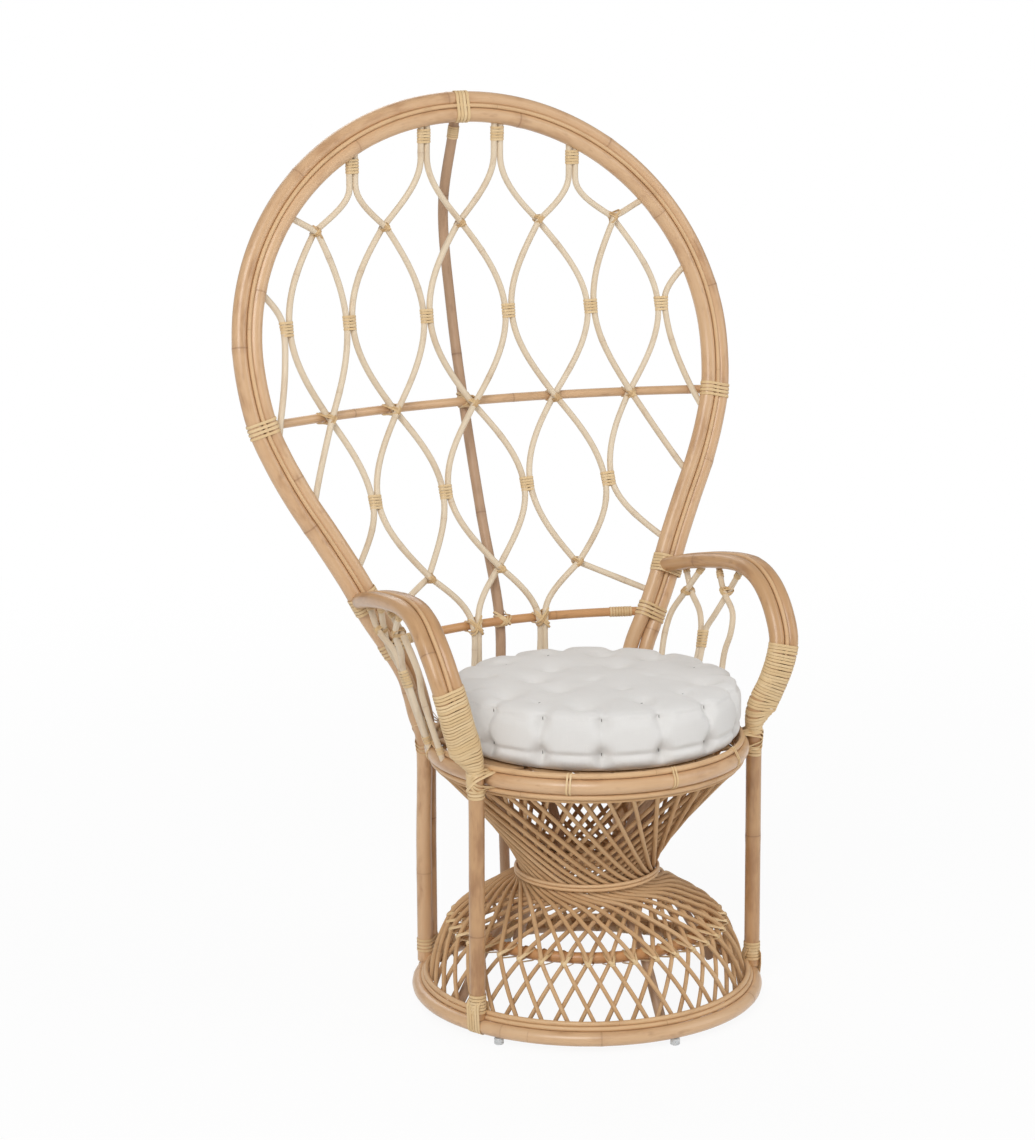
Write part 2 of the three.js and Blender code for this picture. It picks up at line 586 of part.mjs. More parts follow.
function latticeStops(cane, layerDepth) {
  const stops = [];
  if (cane.top) {
    const height = LOWER_BAR_HEIGHT + latticeSpan * cane.top[0];
    const reach = readTable(halfWidthTable, height) - pairOffset;
    stops.push({ x: -reach * cane.top[1], z: height, depth: middleLayer });
  } else {
    const [column, side] = cane.pairTop;
    const x = column * LATTICE_PITCH * 0.96 + side * sideStep;
    const rise = Math.sqrt(1 - (x / HOOP_HALF_WIDTH) ** 2);
    const hoopHeight = HOOP_WIDEST_HEIGHT + (HOOP_TOP_HEIGHT - HOOP_WIDEST_HEIGHT) * rise;
    stops.push({ x, z: hoopHeight - pairOffset, depth: middleLayer, upright: true });
    stops.push({ x, z: hoopHeight - 3 * POLE_DIAMETER, depth: middleLayer, upright: true });
  }
  for (const [row, column, side] of cane.stops) {
    const z = LOWER_BAR_HEIGHT + latticeSpan * rowShares[row];
    const x = column * LATTICE_PITCH + side * sideStep;
    const crossing = side === 0;
    const pairDepth = row === 'G' ? rearLayer : middleLayer;
    stops.push({ x, z, depth: crossing ? layerDepth : pairDepth, upright: !crossing });
  }
  if (cane.foot) {
    const height = LOWER_BAR_HEIGHT + latticeSpan * cane.foot[0];
    const reach = readTable(halfWidthTable, height) - pairOffset;
    stops.push({ x: -reach * cane.foot[1], z: height, depth: middleLayer });
  }
  return stops;
}

function latticeLine(cane, layerDepth) {
  const stops = latticeStops(cane, layerDepth);
  const points = [backPoint(stops[0].x, stops[0].z, stops[0].depth)];
  for (let index = 1; index < stops.length; index += 1) {
    const start = stops[index - 1];
    const end = stops[index];
    const steps = start.upright && end.x === start.x ? 1 : SEGMENT_STEPS;
    for (let step = 1; step <= steps; step += 1) {
      const share = step / steps;
      const x = THREE.MathUtils.lerp(start.x, end.x, easeBetween(start, end, share));
      const z = THREE.MathUtils.lerp(start.z, end.z, share);
      const depth = THREE.MathUtils.lerp(start.depth, end.depth, (1 - Math.cos(Math.PI * share)) / 2);
      points.push(backPoint(x, z, depth));
    }
  }
  if (cane.seat) {
    const last = points[points.length - 1];
    const landing = SEAT_RING_RADIUS + SEAT_RING_DIAMETER * 0.42;
    const landingY = Math.sqrt(landing ** 2 - last.x ** 2);
    points.push(new THREE.Vector3(last.x, landingY + caneRadius, seatRingTop + 2 * POLE_DIAMETER));
    points.push(new THREE.Vector3(last.x, landingY, SEAT_RING_HEIGHT + SEAT_RING_DIAMETER * 0.2));
  }
  return points;
}

const innerPoleCutter = solidOf(sweep(hoopInnerLine, poleRadius + FIT_GAP, POLE_SIDES));
const outerPoleCutter = solidOf(sweep(hoopOuterLine, poleRadius + FIT_GAP, POLE_SIDES));
const grooveCutter = solidOf(sweep(grooveLine, grooveRadius + FIT_GAP, POLE_SIDES));
const seatRingCutter = solidOf(ring(SEAT_RING_RADIUS, SEAT_RING_DIAMETER / 2 + FIT_GAP,
  SEAT_RING_HEIGHT, POLE_SIDES, RING_STEPS));

for (const cane of leftCanes) {
  const ownDepth = cane.layer === 'front' ? frontLayer : rearLayer;
  const otherDepth = cane.name === 'c6' ? rearLayer : ownDepth;
  const cutters = [innerPoleCutter, seatRingCutter];
  const leftLine = latticeLine(cane, ownDepth);
  const rightLine = mirrored(latticeLine(cane, otherDepth));
  addPiece(`lattice_left_${cane.name}`, cutBy(sweep(leftLine, caneRadius, CANE_SIDES), cutters), 'cane');
  addPiece(`lattice_right_${cane.name}`, cutBy(sweep(rightLine, caneRadius, CANE_SIDES), cutters), 'cane');
}

// Arms: a double pole that leaves the hoop, bends down in front and ends as the front leg

// Middle line as shares: [forward from the hoop to the front, across of the spread, up from the
// seat ring to the arm's height]
const armShares = [[0.02, 0.917, 0.868], [0.15, 0.95, 0.914], [0.32, 0.982, 0.96], [0.5, 1.002, 0.99],
  [0.62, 1.008, 0.995], [0.715, 1.012, 0.975], [0.8, 1.016, 0.925], [0.868, 1.018, 0.85],
  [0.925, 1.014, 0.76], [0.97, 1.006, 0.66], [0.99, 0.996, 0.59], [0.995, 0.97, 0.48],
  [0.985, 0.94, 0.37], [0.96, 0.885, 0.2]];
const armBackHeight = SEAT_RING_HEIGHT + (ARM_HEIGHT - SEAT_RING_HEIGHT) * armShares[0][2];
const armBackY = hoopPlaneY(armBackHeight);
const frontLegSeat = around(legSeatRadius, FRONT_LEG_AZIMUTH, SEAT_RING_HEIGHT);
const frontLegFoot = around(BASE_RING_RADIUS, FRONT_LEG_AZIMUTH, legFootHeight);

function armPlace([forward, across, up], tuck) {
  return new THREE.Vector3(
    ARM_SPREAD * across - tuck * THREE.MathUtils.smoothstep(forward, 0.45, 0.95),
    THREE.MathUtils.lerp(armBackY, -ARM_FRONT, forward),
    THREE.MathUtils.lerp(SEAT_RING_HEIGHT, ARM_HEIGHT, up));
}

function beside(points, offset) {
  return points.map((place) => place.clone().add(new THREE.Vector3(offset, 0, 0)));
}

const frontLeg = [frontLegSeat, frontLegSeat.clone().lerp(frontLegFoot, 0.5), frontLegFoot];

// The groove cane lies on the outside of the bend. It starts clear of the hoop and ends at the wrap.
function armGrooveLine(middle) {
  const across = new THREE.Vector3(1, 0, 0);
  const start = middle[0].clone().lerp(middle[1], POLE_DIAMETER / middle[0].distanceTo(middle[1]));
  const reach = [start, ...middle.slice(1).filter((place) => place.z > armWrapTop)];
  const raised = reach.map((place, index) => {
    const before = reach[Math.max(index - 1, 0)];
    const after = reach[Math.min(index + 1, reach.length - 1)];
    const out = new THREE.Vector3().subVectors(after, before).cross(across).normalize();
    return place.clone().addScaledVector(out, grooveRise);
  });
  return smooth(raised, 16);
}

function armLines(tuck) {
  const middle = armShares.map((shares) => armPlace(shares, tuck));
  return {
    middle: smooth(middle, 18),
    inner: smooth([...beside(middle, -pairOffset), ...frontLeg], 28),
    outer: smooth(beside(middle, pairOffset), 18),
    groove: armGrooveLine(middle),
  };
}

function withinWrap(line) {
  return line.filter((place) => place.y < 0 && place.z < armWrapTop && place.z > armWrapFoot);
}

function armWrap(hand, lines) {
  const sleeveRadius = poleRadius + FIT_GAP + ARM_WRAP_THICKNESS;
  const inner = withinWrap(lines.inner);
  const outer = withinWrap(lines.outer);
  const middle = withinWrap(lines.middle);
  return joined([
    sweep(hand(inner), sleeveRadius, POLE_SIDES),
    sweep(hand(outer), sleeveRadius, POLE_SIDES),
    sweep(hand(middle), sleeveRadius, POLE_SIDES),
  ]);
}

// Four thin canes fill each arm: places in the same shares as the arm, then the seat ring as
// [azimuth]. Crossings lie one cane beside the other, a pair one cane behind the other.
const crossingBack = [0.191, 0.924, 0.733];
const crossingFront = [0.466, 0.974, 0.791];
const FRONT_CANE_AZIMUTH = 92;
const PAIR_AZIMUTH = 109;
const REAR_CANE_AZIMUTH = 122;
const armCanes = [
  { name: 'c1', crossing: 1, pair: 1, foot: PAIR_AZIMUTH,
    shares: [[0.098, 0.957, 0.9], crossingBack, [0.314, 0.914, 0.62], [0.372, 0.888, 0.469]] },
  { name: 'c2', crossing: -1, pair: 0, foot: REAR_CANE_AZIMUTH,
    shares: [[0.288, 0.983, 0.93], crossingBack, [0.14, 0.855, 0.597], [0.15, 0.812, 0.496],
      [0.17, 0.779, 0.399]] },
  { name: 'c3', crossing: -1, pair: 0, foot: FRONT_CANE_AZIMUTH,
    shares: [[0.358, 0.993, 0.93], crossingFront, [0.556, 0.954, 0.678], [0.583, 0.927, 0.558],
      [0.562, 0.901, 0.426]] },
  { name: 'c4', crossing: 1, pair: -1, foot: PAIR_AZIMUTH,
    shares: [[0.577, 1.007, 0.96], crossingFront, [0.424, 0.937, 0.643], [0.38, 0.905, 0.53],
      [0.372, 0.888, 0.469]] },
];
const armCaneRadius = ARM_CANE_DIAMETER / 2;
const armCaneStep = (armCaneRadius + FIT_GAP / 2) * layerAllowance;

function armCaneLine({ crossing, pair, foot, shares }, tuck) {
  const places = shares.map((share, index) => {
    const place = armPlace(share, tuck);
    if (index === 1) place.x += crossing * armCaneStep;
    if (index === shares.length - 1) place.y += pair * armCaneStep;
    return place;
  });
  const landing = SEAT_RING_RADIUS + SEAT_RING_DIAMETER / 4;
  const seatPlace = around(landing, foot, SEAT_RING_HEIGHT + SEAT_RING_DIAMETER / 4);
  const along = around(1, foot + 90, 0);
  places.push(seatPlace.addScaledVector(along, pair * armCaneStep));
  return smooth(places, 11);
}

const arms = [
  { side: 'left', hand: mirrored, tuck: 0 },
  { side: 'right', hand: (line) => line, tuck: RIGHT_ARM_TUCK },
];
const pocketCutter = solidOf(sweep(hoopLine(0), grooveRise * 0.93, POLE_SIDES));
const hoopCutters = [innerPoleCutter, outerPoleCutter, grooveCutter, pocketCutter];
const trimCutter = solidOf(ring(SEAT_RING_RADIUS, SEAT_TRIM_DIAMETER / 2 + FIT_GAP,
  SEAT_RING_HEIGHT + seatTrimStep, 6, RING_STEPS));
for (const { side, hand, tuck } of arms) {
  const lines = armLines(tuck);
  const inner = sweep(hand(lines.inner), poleRadius, POLE_SIDES);
  const outer = sweep(hand(lines.outer), poleRadius, POLE_SIDES);
  const groove = sweep(hand(lines.groove), grooveRadius, CANE_SIDES);
  const innerSpace = solidOf(sweep(hand(lines.inner), poleRadius + FIT_GAP, POLE_SIDES));
  const outerSpace = solidOf(sweep(hand(lines.outer), poleRadius + FIT_GAP, POLE_SIDES));
  const grooveSpace = solidOf(sweep(hand(lines.groove), grooveRadius + FIT_GAP, POLE_SIDES));
  addPiece(`arm_pole_${side}_inner`, cutBy(inner, [...hoopCutters, ...footCutters]), 'pole');
  addPiece(`arm_pole_${side}_outer`, cutBy(outer, [...hoopCutters, innerSpace]), 'pole');
  addPiece(`arm_groove_cane_${side}`, cutBy(groove, hoopCutters), 'cane');
  addPiece(`arm_wrap_${side}`, cutBy(armWrap(hand, lines), [innerSpace, outerSpace, grooveSpace,
    seatRingCutter, trimCutter]), 'binding');
  for (const cane of armCanes) {
    const line = sweep(hand(armCaneLine(cane, tuck)), armCaneRadius, CANE_SIDES);
    addPiece(`arm_${side}_${cane.name}`, cutBy(line, [...hoopCutters, innerSpace, outerSpace,
      seatRingCutter, trimCutter]), 'cane');
  }
}

// Cushion: a crowned top with tufts, and sides drawn in along two sewn rows

// Profile from the middle of the underside to the middle of the top, as shares of radius and height
const cushionShares = [[0, 0.02], [0.6, 0], [0.92, 0.02], [1, 0.15], [0.965, 0.3], [1.005, 0.54],
  [0.965, 0.77], [0.985, 0.87], [0.93, 0.955], [0.8, 1], [0.58, 1], [0.38, 1], [0.18, 1], [0, 1]];
const pinchRowShares = [0.3, 0.77];
const TUFT_RING_SHARE = 0.58;

function softSpot(distance, reach) {
  return Math.exp(-((distance / reach) ** 2));
}

function cushionGeometry() {
  const profile = cushionShares.map(([out, up]) => (
    new THREE.Vector2(out * cushionRadius, up * (CUSHION_THICKNESS - CUSHION_CROWN))));
  const bare = new THREE.LatheGeometry(profile, PINCH_COUNT * 3).rotateX(Math.PI / 2);
  bare.deleteAttribute('normal');
  bare.deleteAttribute('uv');
  const geometry = mergeVertices(bare, FIT_GAP / 1000);
  const places = geometry.attributes.position;
  const rise = CUSHION_THICKNESS - CUSHION_CROWN;
  for (let index = 0; index < places.count; index += 1) {
    const x = places.getX(index);
    const y = places.getY(index);
    const z = places.getZ(index);
    const radius = Math.hypot(x, y);
    const azimuth = Math.atan2(y, x);
    const seam = Math.max(0, Math.cos(PINCH_COUNT * azimuth)) ** 2;
    const rows = pinchRowShares.map((row) => softSpot(z / rise - row, 0.09));
    const pinch = PINCH_DEPTH * seam * (0.35 + 0.65 * Math.max(...rows));
    const onSide = THREE.MathUtils.smoothstep(radius, 0.86 * cushionRadius, 0.95 * cushionRadius);
    const drawn = radius > 0 ? (radius - pinch * onSide) / radius : 1;
    const crown = CUSHION_CROWN * Math.cos((Math.PI / 2) * Math.min(radius / cushionRadius, 1));
    const top = THREE.MathUtils.smoothstep(z / rise, 0.9, 0.99);
    let tuft = softSpot(radius, TUFT_DEPTH * 3);
    for (let count = 0; count < TUFT_COUNT; count += 1) {
      const turn = (2 * Math.PI * count) / TUFT_COUNT;
      const reach = cushionRadius * TUFT_RING_SHARE;
      tuft += softSpot(Math.hypot(x - reach * Math.cos(turn), y - reach * Math.sin(turn)), TUFT_DEPTH * 3);
    }
    places.setXYZ(index, x * drawn, y * drawn, z + top * (crown - TUFT_DEPTH * tuft));
  }
  geometry.translate(CUSHION_SHIFT_X, CUSHION_SHIFT_Y, deckTop + FIT_GAP);
  geometry.computeVertexNormals();
  return geometry;
}
addPiece('seat_cushion', cushionGeometry(), 'linen');

// The whole chair is centred front to back over the middle of its outline.
const bounds = new THREE.Box3().setFromObject(chair);
const middleY = (bounds.min.y + bounds.max.y) / 2;
const middleX = (bounds.min.x + bounds.max.x) / 2;
for (const mesh of chair.children) mesh.geometry.translate(-middleX, -middleY, -bounds.min.z);

export default chair;
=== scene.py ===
"""Looks of a rattan peacock chair with a round tufted cushion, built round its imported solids.

Everything is in metres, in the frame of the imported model: +Z up, the sitter faces -Y, the floor at 0.
"""

import logging
import math
import random
from collections.abc import Callable, Iterable, Sequence
from dataclasses import dataclass, field
from enum import Enum
from functools import cache

import bpy
import numpy as np
from mathutils import Matrix, Vector


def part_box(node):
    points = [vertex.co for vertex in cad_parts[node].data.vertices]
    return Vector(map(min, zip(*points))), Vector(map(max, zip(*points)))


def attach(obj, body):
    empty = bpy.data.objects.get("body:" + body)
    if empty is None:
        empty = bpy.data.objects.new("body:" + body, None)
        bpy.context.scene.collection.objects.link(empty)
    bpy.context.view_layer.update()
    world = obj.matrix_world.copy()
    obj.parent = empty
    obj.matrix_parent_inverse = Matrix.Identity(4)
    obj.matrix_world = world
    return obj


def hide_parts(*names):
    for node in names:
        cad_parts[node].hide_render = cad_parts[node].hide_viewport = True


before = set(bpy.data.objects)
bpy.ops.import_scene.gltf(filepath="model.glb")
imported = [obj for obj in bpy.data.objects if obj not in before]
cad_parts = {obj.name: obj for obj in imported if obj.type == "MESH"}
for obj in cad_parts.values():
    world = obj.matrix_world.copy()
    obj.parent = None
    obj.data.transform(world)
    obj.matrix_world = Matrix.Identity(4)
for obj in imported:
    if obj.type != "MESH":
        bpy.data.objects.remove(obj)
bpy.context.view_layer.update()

FRAME_BODY = "chair_frame"
CUSHION_BODY = "cushion"
SEED = 38
LOG = logging.getLogger("peacock_chair")

Point = tuple[float, float, float]
Table = tuple[tuple[float, float], ...]
Route = list[Vector]
Rows = np.ndarray
Piece = bpy.types.Object
Socket = bpy.types.NodeSocket
Run = tuple[Route, float]


class Slot(Enum):
    """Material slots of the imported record."""

    POLE = "pole"
    CANE = "cane"
    BAR = "bar"
    WEAVE = "weave"
    BINDING = "binding"
    DECK = "deck"
    LINEN = "linen"
    GLIDE = "glide"


# Places and curves


def base_centre_y() -> float:
    """Returns how far behind the frame's origin the axis of the round base stands."""
    low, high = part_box("base_ring")
    return (low[1] + high[1]) / 2


AXIS_Y = base_centre_y()
UP = Vector((0, 0, 1))
ACROSS = Vector((1, 0, 0))


def chair_point(x: float, y: float, z: float) -> Vector:
    """Returns a place given from the axis of the base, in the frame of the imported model."""
    return Vector((x, y + AXIS_Y, z))


def around(radius: float, azimuth: float, height: float) -> Vector:
    """Returns a place on a circle round the base's axis, its azimuth in degrees from the front to +X."""
    angle = math.radians(azimuth)
    return chair_point(radius * math.sin(angle), -radius * math.cos(angle), height)


def read_table(table: Iterable[tuple[float, float]], place: float) -> float:
    """Returns the value at a place from rows of (place, value) that rise, straight between them."""
    places, values = zip(*table)
    return float(np.interp(place, places, values))


def mirrored(points: Iterable[Vector]) -> Route:
    """Returns the points on the other side of the chair."""
    return [Vector((-point.x, point.y, point.z)) for point in points]


def smooth_route(points: Sequence[Vector], spacing: float) -> Route:
    """Runs a centripetal Catmull-Rom curve through the points.

    Args:
        points: places that the curve passes through.
        spacing: about the distance between the samples.

    Returns:
        The samples, both ends included.
    """
    ends = [points[0] * 2 - points[1], *points, points[-1] * 2 - points[-2]]
    route = [points[0].copy()]
    for index in range(1, len(ends) - 2):
        nearby = ends[index - 1:index + 3]
        times = [0.0]
        for start, end in zip(nearby, nearby[1:]):
            times.append(times[-1] + max((end - start).length, 1e-6) ** 0.5)
        steps = max(1, round((nearby[2] - nearby[1]).length / spacing))
        for step in range(1, steps + 1):
            when = times[1] + (times[2] - times[1]) * step / steps
            row = list(nearby)
            for level in (1, 2, 3):
                for place in range(4 - level):
                    early, late = times[place], times[place + level]
                    if level == 3:
                        early, late = times[1], times[2]
                    share = (when - early) / (late - early)
                    row[place] = row[place].lerp(row[place + 1], share)
            route.append(row[0])
    return route


def tangents(route: Sequence[Vector]) -> Route:
    """Returns the unit direction of the route at each of its points."""
    last = len(route) - 1
    return [(route[min(i + 1, last)] - route[max(i - 1, 0)]).normalized() for i in range(last + 1)]


# Shader expressions


def operation(name: str, swapped: bool = False) -> Callable[..., "Value"]:
    """Makes an operator for Value.

    Args:
        name: the Math node's operation.
        swapped: whether the value itself is the last term.

    Returns:
        A method that adds the node and returns its value.
    """
    def operator(value: "Value", *others: "Value | float") -> "Value":
        """Returns the operation's result."""
        return value.paint.maths(name, *((*others, value) if swapped else (value, *others)))
    return operator


class Value:
    """A shader socket that takes part in Python arithmetic, each operator adding a Math node."""

    __add__ = __radd__ = operation("ADD")
    __sub__, __rsub__ = operation("SUBTRACT"), operation("SUBTRACT", swapped=True)
    __mul__ = __rmul__ = operation("MULTIPLY")
    __truediv__, __pow__ = operation("DIVIDE"), operation("POWER")
    fraction, size, sine = operation("FRACT"), operation("ABSOLUTE"), operation("SINE")

    def __init__(self, paint: "Paint", socket: Socket) -> None:
        """Wraps a socket of the tree that is being painted."""
        self.paint = paint
        self.socket = socket

    def held(self) -> "Value":
        """Returns the value held between 0 and 1."""
        return self.paint.maths("MAXIMUM", self.paint.maths("MINIMUM", self, 1.0), 0.0)

    def ramp(self, low: float, high: float) -> "Value":
        """Returns 0 at low, 1 at high and a soft rise between them."""
        range_node = self.paint.node("ShaderNodeMapRange", {"interpolation_type": "SMOOTHSTEP"},
                                     {"Value": self, "From Min": low, "From Max": high})
        return Value(self.paint, range_node.outputs["Result"])


Colour = tuple[float, float, float]


def linear(*channels: int) -> Colour:
    """Returns a display colour of 0 to 255 as the linear colour that shaders take."""
    shares = (channel / 255 for channel in channels)
    return tuple(share / 12.92 if share <= 0.04045 else ((share + 0.055) / 1.055) ** 2.4 for share in shares)


class Paint:
    """Builds the node tree of one material or world."""

    def __init__(self, name: str, shelf: str = "materials", shader: str = "Principled BSDF") -> None:
        """Starts a material or a world with its own shader alone.

        Args:
            name: of the material or world.
            shelf: where Blender keeps its kind.
            shader: the name of its first shader node.
        """
        self.owner = getattr(bpy.data, shelf).new(name)
        self.owner.use_nodes = True
        self.tree = self.owner.node_tree
        self.shader = self.tree.nodes[shader]

    def node(self, kind: str, settings: dict | None = None, inputs: dict | None = None) -> bpy.types.Node:
        """Adds a node.

        Args:
            kind: the node's type.
            settings: its own settings, set first.
            inputs: values or links for its sockets, by name or number.

        Returns:
            The node.
        """
        made = self.tree.nodes.new(kind)
        for key, value in (settings or {}).items():
            setattr(made, key, value)
        for key, value in (inputs or {}).items():
            self.join(value, made.inputs[key])
        return made

    def join(self, value: object, socket: Socket) -> None:
        """Links a value or an output to a socket, or sets a plain number or colour on it.

        Args:
            value: what the socket gets.
            socket: an input of a node.
        """
        if isinstance(value, Value):
            self.tree.links.new(value.socket, socket)
        elif isinstance(value, Socket):
            self.tree.links.new(value, socket)
        elif socket.type == "RGBA" and len(value) == 3:
            socket.default_value = (*value, 1.0)
        else:
            socket.default_value = value

    def maths(self, operation: str, *terms: "Value | float") -> Value:
        """Adds a Math node on one or two terms and returns its value."""
        made = self.node("ShaderNodeMath", {"operation": operation}, dict(enumerate(terms)))
        return Value(self, made.outputs[0])

    def attribute(self, name: str) -> bpy.types.Node:
        """Returns a node that reads one of the mesh's own attributes."""
        return self.node("ShaderNodeAttribute", {"attribute_name": name})

    def stretched(self, vector: Socket, scale: Point) -> Socket:
        """Returns coordinates scaled along each axis."""
        return self.node("ShaderNodeMapping", None, {"Vector": vector, "Scale": scale}).outputs[0]

    def noise(self, vector: Socket, scale: float, detail: float = 2.0, rough: float = 0.5) -> Value:
        """Returns noise from 0 to 1 on the coordinates."""
        made = self.node("ShaderNodeTexNoise", None,
                         {"Vector": vector, "Scale": scale, "Detail": detail, "Roughness": rough})
        return Value(self, made.outputs["Fac"])

    def mix(self, factor: Value | float, first: object, second: object) -> Socket:
        """Returns a mix of two colours."""
        settings = {"data_type": "RGBA", "clamp_factor": True}
        return self.node("ShaderNodeMix", settings, {0: factor, 6: first, 7: second}).outputs[2]

    def bump(self, height: Value, distance: float) -> Socket:
        """Returns a normal that follows a height of 0 to 1 over a distance in metres."""
        return self.node("ShaderNodeBump", None, {"Height": height, "Distance": distance}).outputs["Normal"]

    def finish(self, **sockets: object) -> bpy.types.ID:
        """Sets or links the shader's sockets, with underscores for spaces, and returns its owner."""
        for key, value in sockets.items():
            self.join(value, self.shader.inputs[key.replace("_", " ")])
        return self.owner

    def show(self, share: Value | Socket, other: bpy.types.Node) -> None:
        """Shows another shader in place of the tree's own.

        Args:
            share: how much of it shows, 0 to 1.
            other: the other shader's node.
        """
        mixed = self.node("ShaderNodeMixShader", None,
                          {0: share, 1: self.shader.outputs[0], 2: other.outputs[0]})
        outlet = next(node for node in self.tree.nodes if node.type.startswith("OUTPUT"))
        self.join(mixed.outputs[0], outlet.inputs["Surface"])


# Finishes


Shades = tuple[tuple[int, int, int], ...]


@dataclass(frozen=True)
class RattanFinish:
    """Peeled rattan or cane, whose fibres run along the piece's own straightened coordinates.

    Its shades are the body's, a dark, a pale and the joints' colour, of 0 to 255.
    """

    name: str
    shades: Shades
    roughness: float = 0.5
    coat: float = 0.12
    mottle: float = 0.5
    streaks: float = 0.35
    fibre: float = 0.0007
    joint_gap: float = 0.31
    joint_width: float = 0.0022
    joint_shade: float = 0.42
    relief: float = 0.00012

    def material(self) -> bpy.types.Material:
        """Returns the finish as a material."""
        paint = Paint(self.name)
        straight = paint.attribute("straight").outputs["Vector"]
        tone = Value(paint, paint.attribute("tone").outputs["Fac"])
        split = paint.node("ShaderNodeSeparateXYZ", None, {0: straight})
        along = Value(paint, split.outputs["Z"])
        across = 1 / self.fibre
        fibres = paint.noise(paint.stretched(straight, (across, across, across / 60)), 1.0, 3.0, 0.6)
        strands = paint.noise(paint.stretched(straight, (across / 5, across / 5, across / 260)), 1.0)
        clouds = paint.noise(paint.stretched(straight, (34, 34, 11)), 1.0, 3.0, 0.62)
        blots = paint.noise(paint.stretched(straight, (90, 90, 30)), 1.0)
        place = (along / self.joint_gap).fraction()
        strength = (((along / self.joint_gap - place) * 12.9898).sine() * 43.7).fraction() * 0.75 + 0.25
        from_joint = (place - 0.5).size() * self.joint_gap + (blots - 0.5) * self.joint_width
        edge = self.joint_gap / 2
        ring = from_joint.ramp(edge - self.joint_width, edge - self.joint_width * 0.2) * strength
        shoulder = from_joint.ramp(edge - self.joint_gap * 0.06, edge) * strength
        body, dark, pale, joint = (linear(*shade) for shade in self.shades)
        colour = paint.mix((strands - 0.5) * self.streaks + (clouds - 0.35) * 0.9 * self.mottle + tone * 0.35,
                           body, pale)
        shade = (0.52 - clouds).ramp(0.0, 0.26) * self.mottle + (0.45 - fibres).ramp(0.0, 0.3) * self.streaks
        colour = paint.mix(shade * (0.75 - tone * 0.5), colour, dark)
        colour = paint.mix((blots - 0.6).ramp(0.0, 0.16) * self.mottle * 0.45, colour, joint)
        colour = paint.mix(shoulder * self.joint_shade * 0.5 + ring * self.joint_shade, colour, joint)
        height = fibres * 0.6 + strands * 0.4 - ring * 0.9
        rough = self.roughness + fibres * 0.14 + ring * 0.15
        return paint.finish(Base_Color=colour, Roughness=rough.held(), Coat_Weight=self.coat,
                            Coat_Roughness=0.22, Normal=paint.bump(height, self.relief))


@dataclass(frozen=True)
class StripFinish:
    """Flat binding cane, whose grain runs round each turn, in a body's, a dark and a pale shade."""

    name: str
    shades: Shades
    roughness: float = 0.5

    def material(self) -> bpy.types.Material:
        """Returns the finish as a material."""
        paint = Paint(self.name)
        straight = paint.attribute("straight").outputs["Vector"]
        tone = Value(paint, paint.attribute("tone").outputs["Fac"])
        grain = paint.noise(paint.stretched(straight, (1800, 1800, 40)), 1.0, 3.0, 0.6)
        cloud = paint.noise(paint.stretched(straight, (60, 60, 25)), 1.0)
        body, dark, pale = (linear(*shade) for shade in self.shades)
        colour = paint.mix((cloud - 0.4) * 0.9 + tone * 0.4, body, pale)
        colour = paint.mix((0.5 - grain).ramp(0.0, 0.3) * (0.55 - tone * 0.25), colour, dark)
        colour = paint.mix((-0.8 - tone).ramp(0.0, 1.2) * 0.6, colour, dark)
        return paint.finish(Base_Color=colour, Roughness=(self.roughness + grain * 0.12).held(),
                            Coat_Weight=0.1, Coat_Roughness=0.3, Normal=paint.bump(grain, 0.00008))


@dataclass(frozen=True)
class LinenFinish:
    """Washed linen: threads both ways, slubs and a little unevenness in the dye."""

    name: str = "washed_linen"
    body: Colour = linear(228, 226, 223)
    shade: Colour = linear(206, 203, 198)
    thread: float = 0.0011

    def material(self) -> bpy.types.Material:
        """Returns the finish as a material."""
        paint = Paint(self.name)
        cloth = paint.attribute("cloth").outputs["Vector"]
        split = paint.node("ShaderNodeSeparateXYZ", None, {0: cloth})
        turns = 2 * math.pi / self.thread
        wobble = paint.noise(paint.stretched(cloth, (60, 60, 60)), 1.0, 1.0) * 2.4
        warp = (Value(paint, split.outputs["X"]) * turns + wobble).sine()
        weft = (Value(paint, split.outputs["Y"]) * turns + wobble).sine()
        slub_x = paint.noise(paint.stretched(cloth, (900, 40, 900)), 1.0)
        slub_y = paint.noise(paint.stretched(cloth, (40, 900, 900)), 1.0)
        cloud = paint.noise(paint.stretched(cloth, (14, 14, 14)), 1.0, 3.0)
        weave = (warp * weft) * 0.25 + 0.5
        slubs = (slub_x - 0.55).ramp(0.0, 0.2) + (slub_y - 0.55).ramp(0.0, 0.2)
        colour = paint.mix((1 - weave) * 0.22 + (0.55 - cloud).held() * 0.5, self.body, self.shade)
        colour = paint.mix(slubs * 0.16, colour, linear(238, 236, 232))
        return paint.finish(Base_Color=colour, Roughness=(0.9 + weave * 0.08).held(), Sheen_Weight=0.15,
                            Normal=paint.bump(weave * 0.7 + slubs * 0.4, 0.00022))


@dataclass(frozen=True)
class SpeckledFinish:
    """A plain material between two colours, varied by a fine noise on the piece's own coordinates."""

    name: str
    body: Colour
    other: Colour
    scale: float
    share: float
    roughness: float
    roughened: float
    relief: float
    detail: float = 2.0
    clear: float = 0.0

    def material(self) -> bpy.types.Material:
        """Returns the finish as a material."""
        paint = Paint(self.name)
        place = paint.node("ShaderNodeTexCoord").outputs["Object"]
        specks = paint.noise(place, self.scale, self.detail)
        return paint.finish(Base_Color=paint.mix(specks * self.share, self.body, self.other),
                            Roughness=(self.roughness + specks * self.roughened).held(),
                            Transmission_Weight=self.clear, Normal=paint.bump(specks, self.relief))


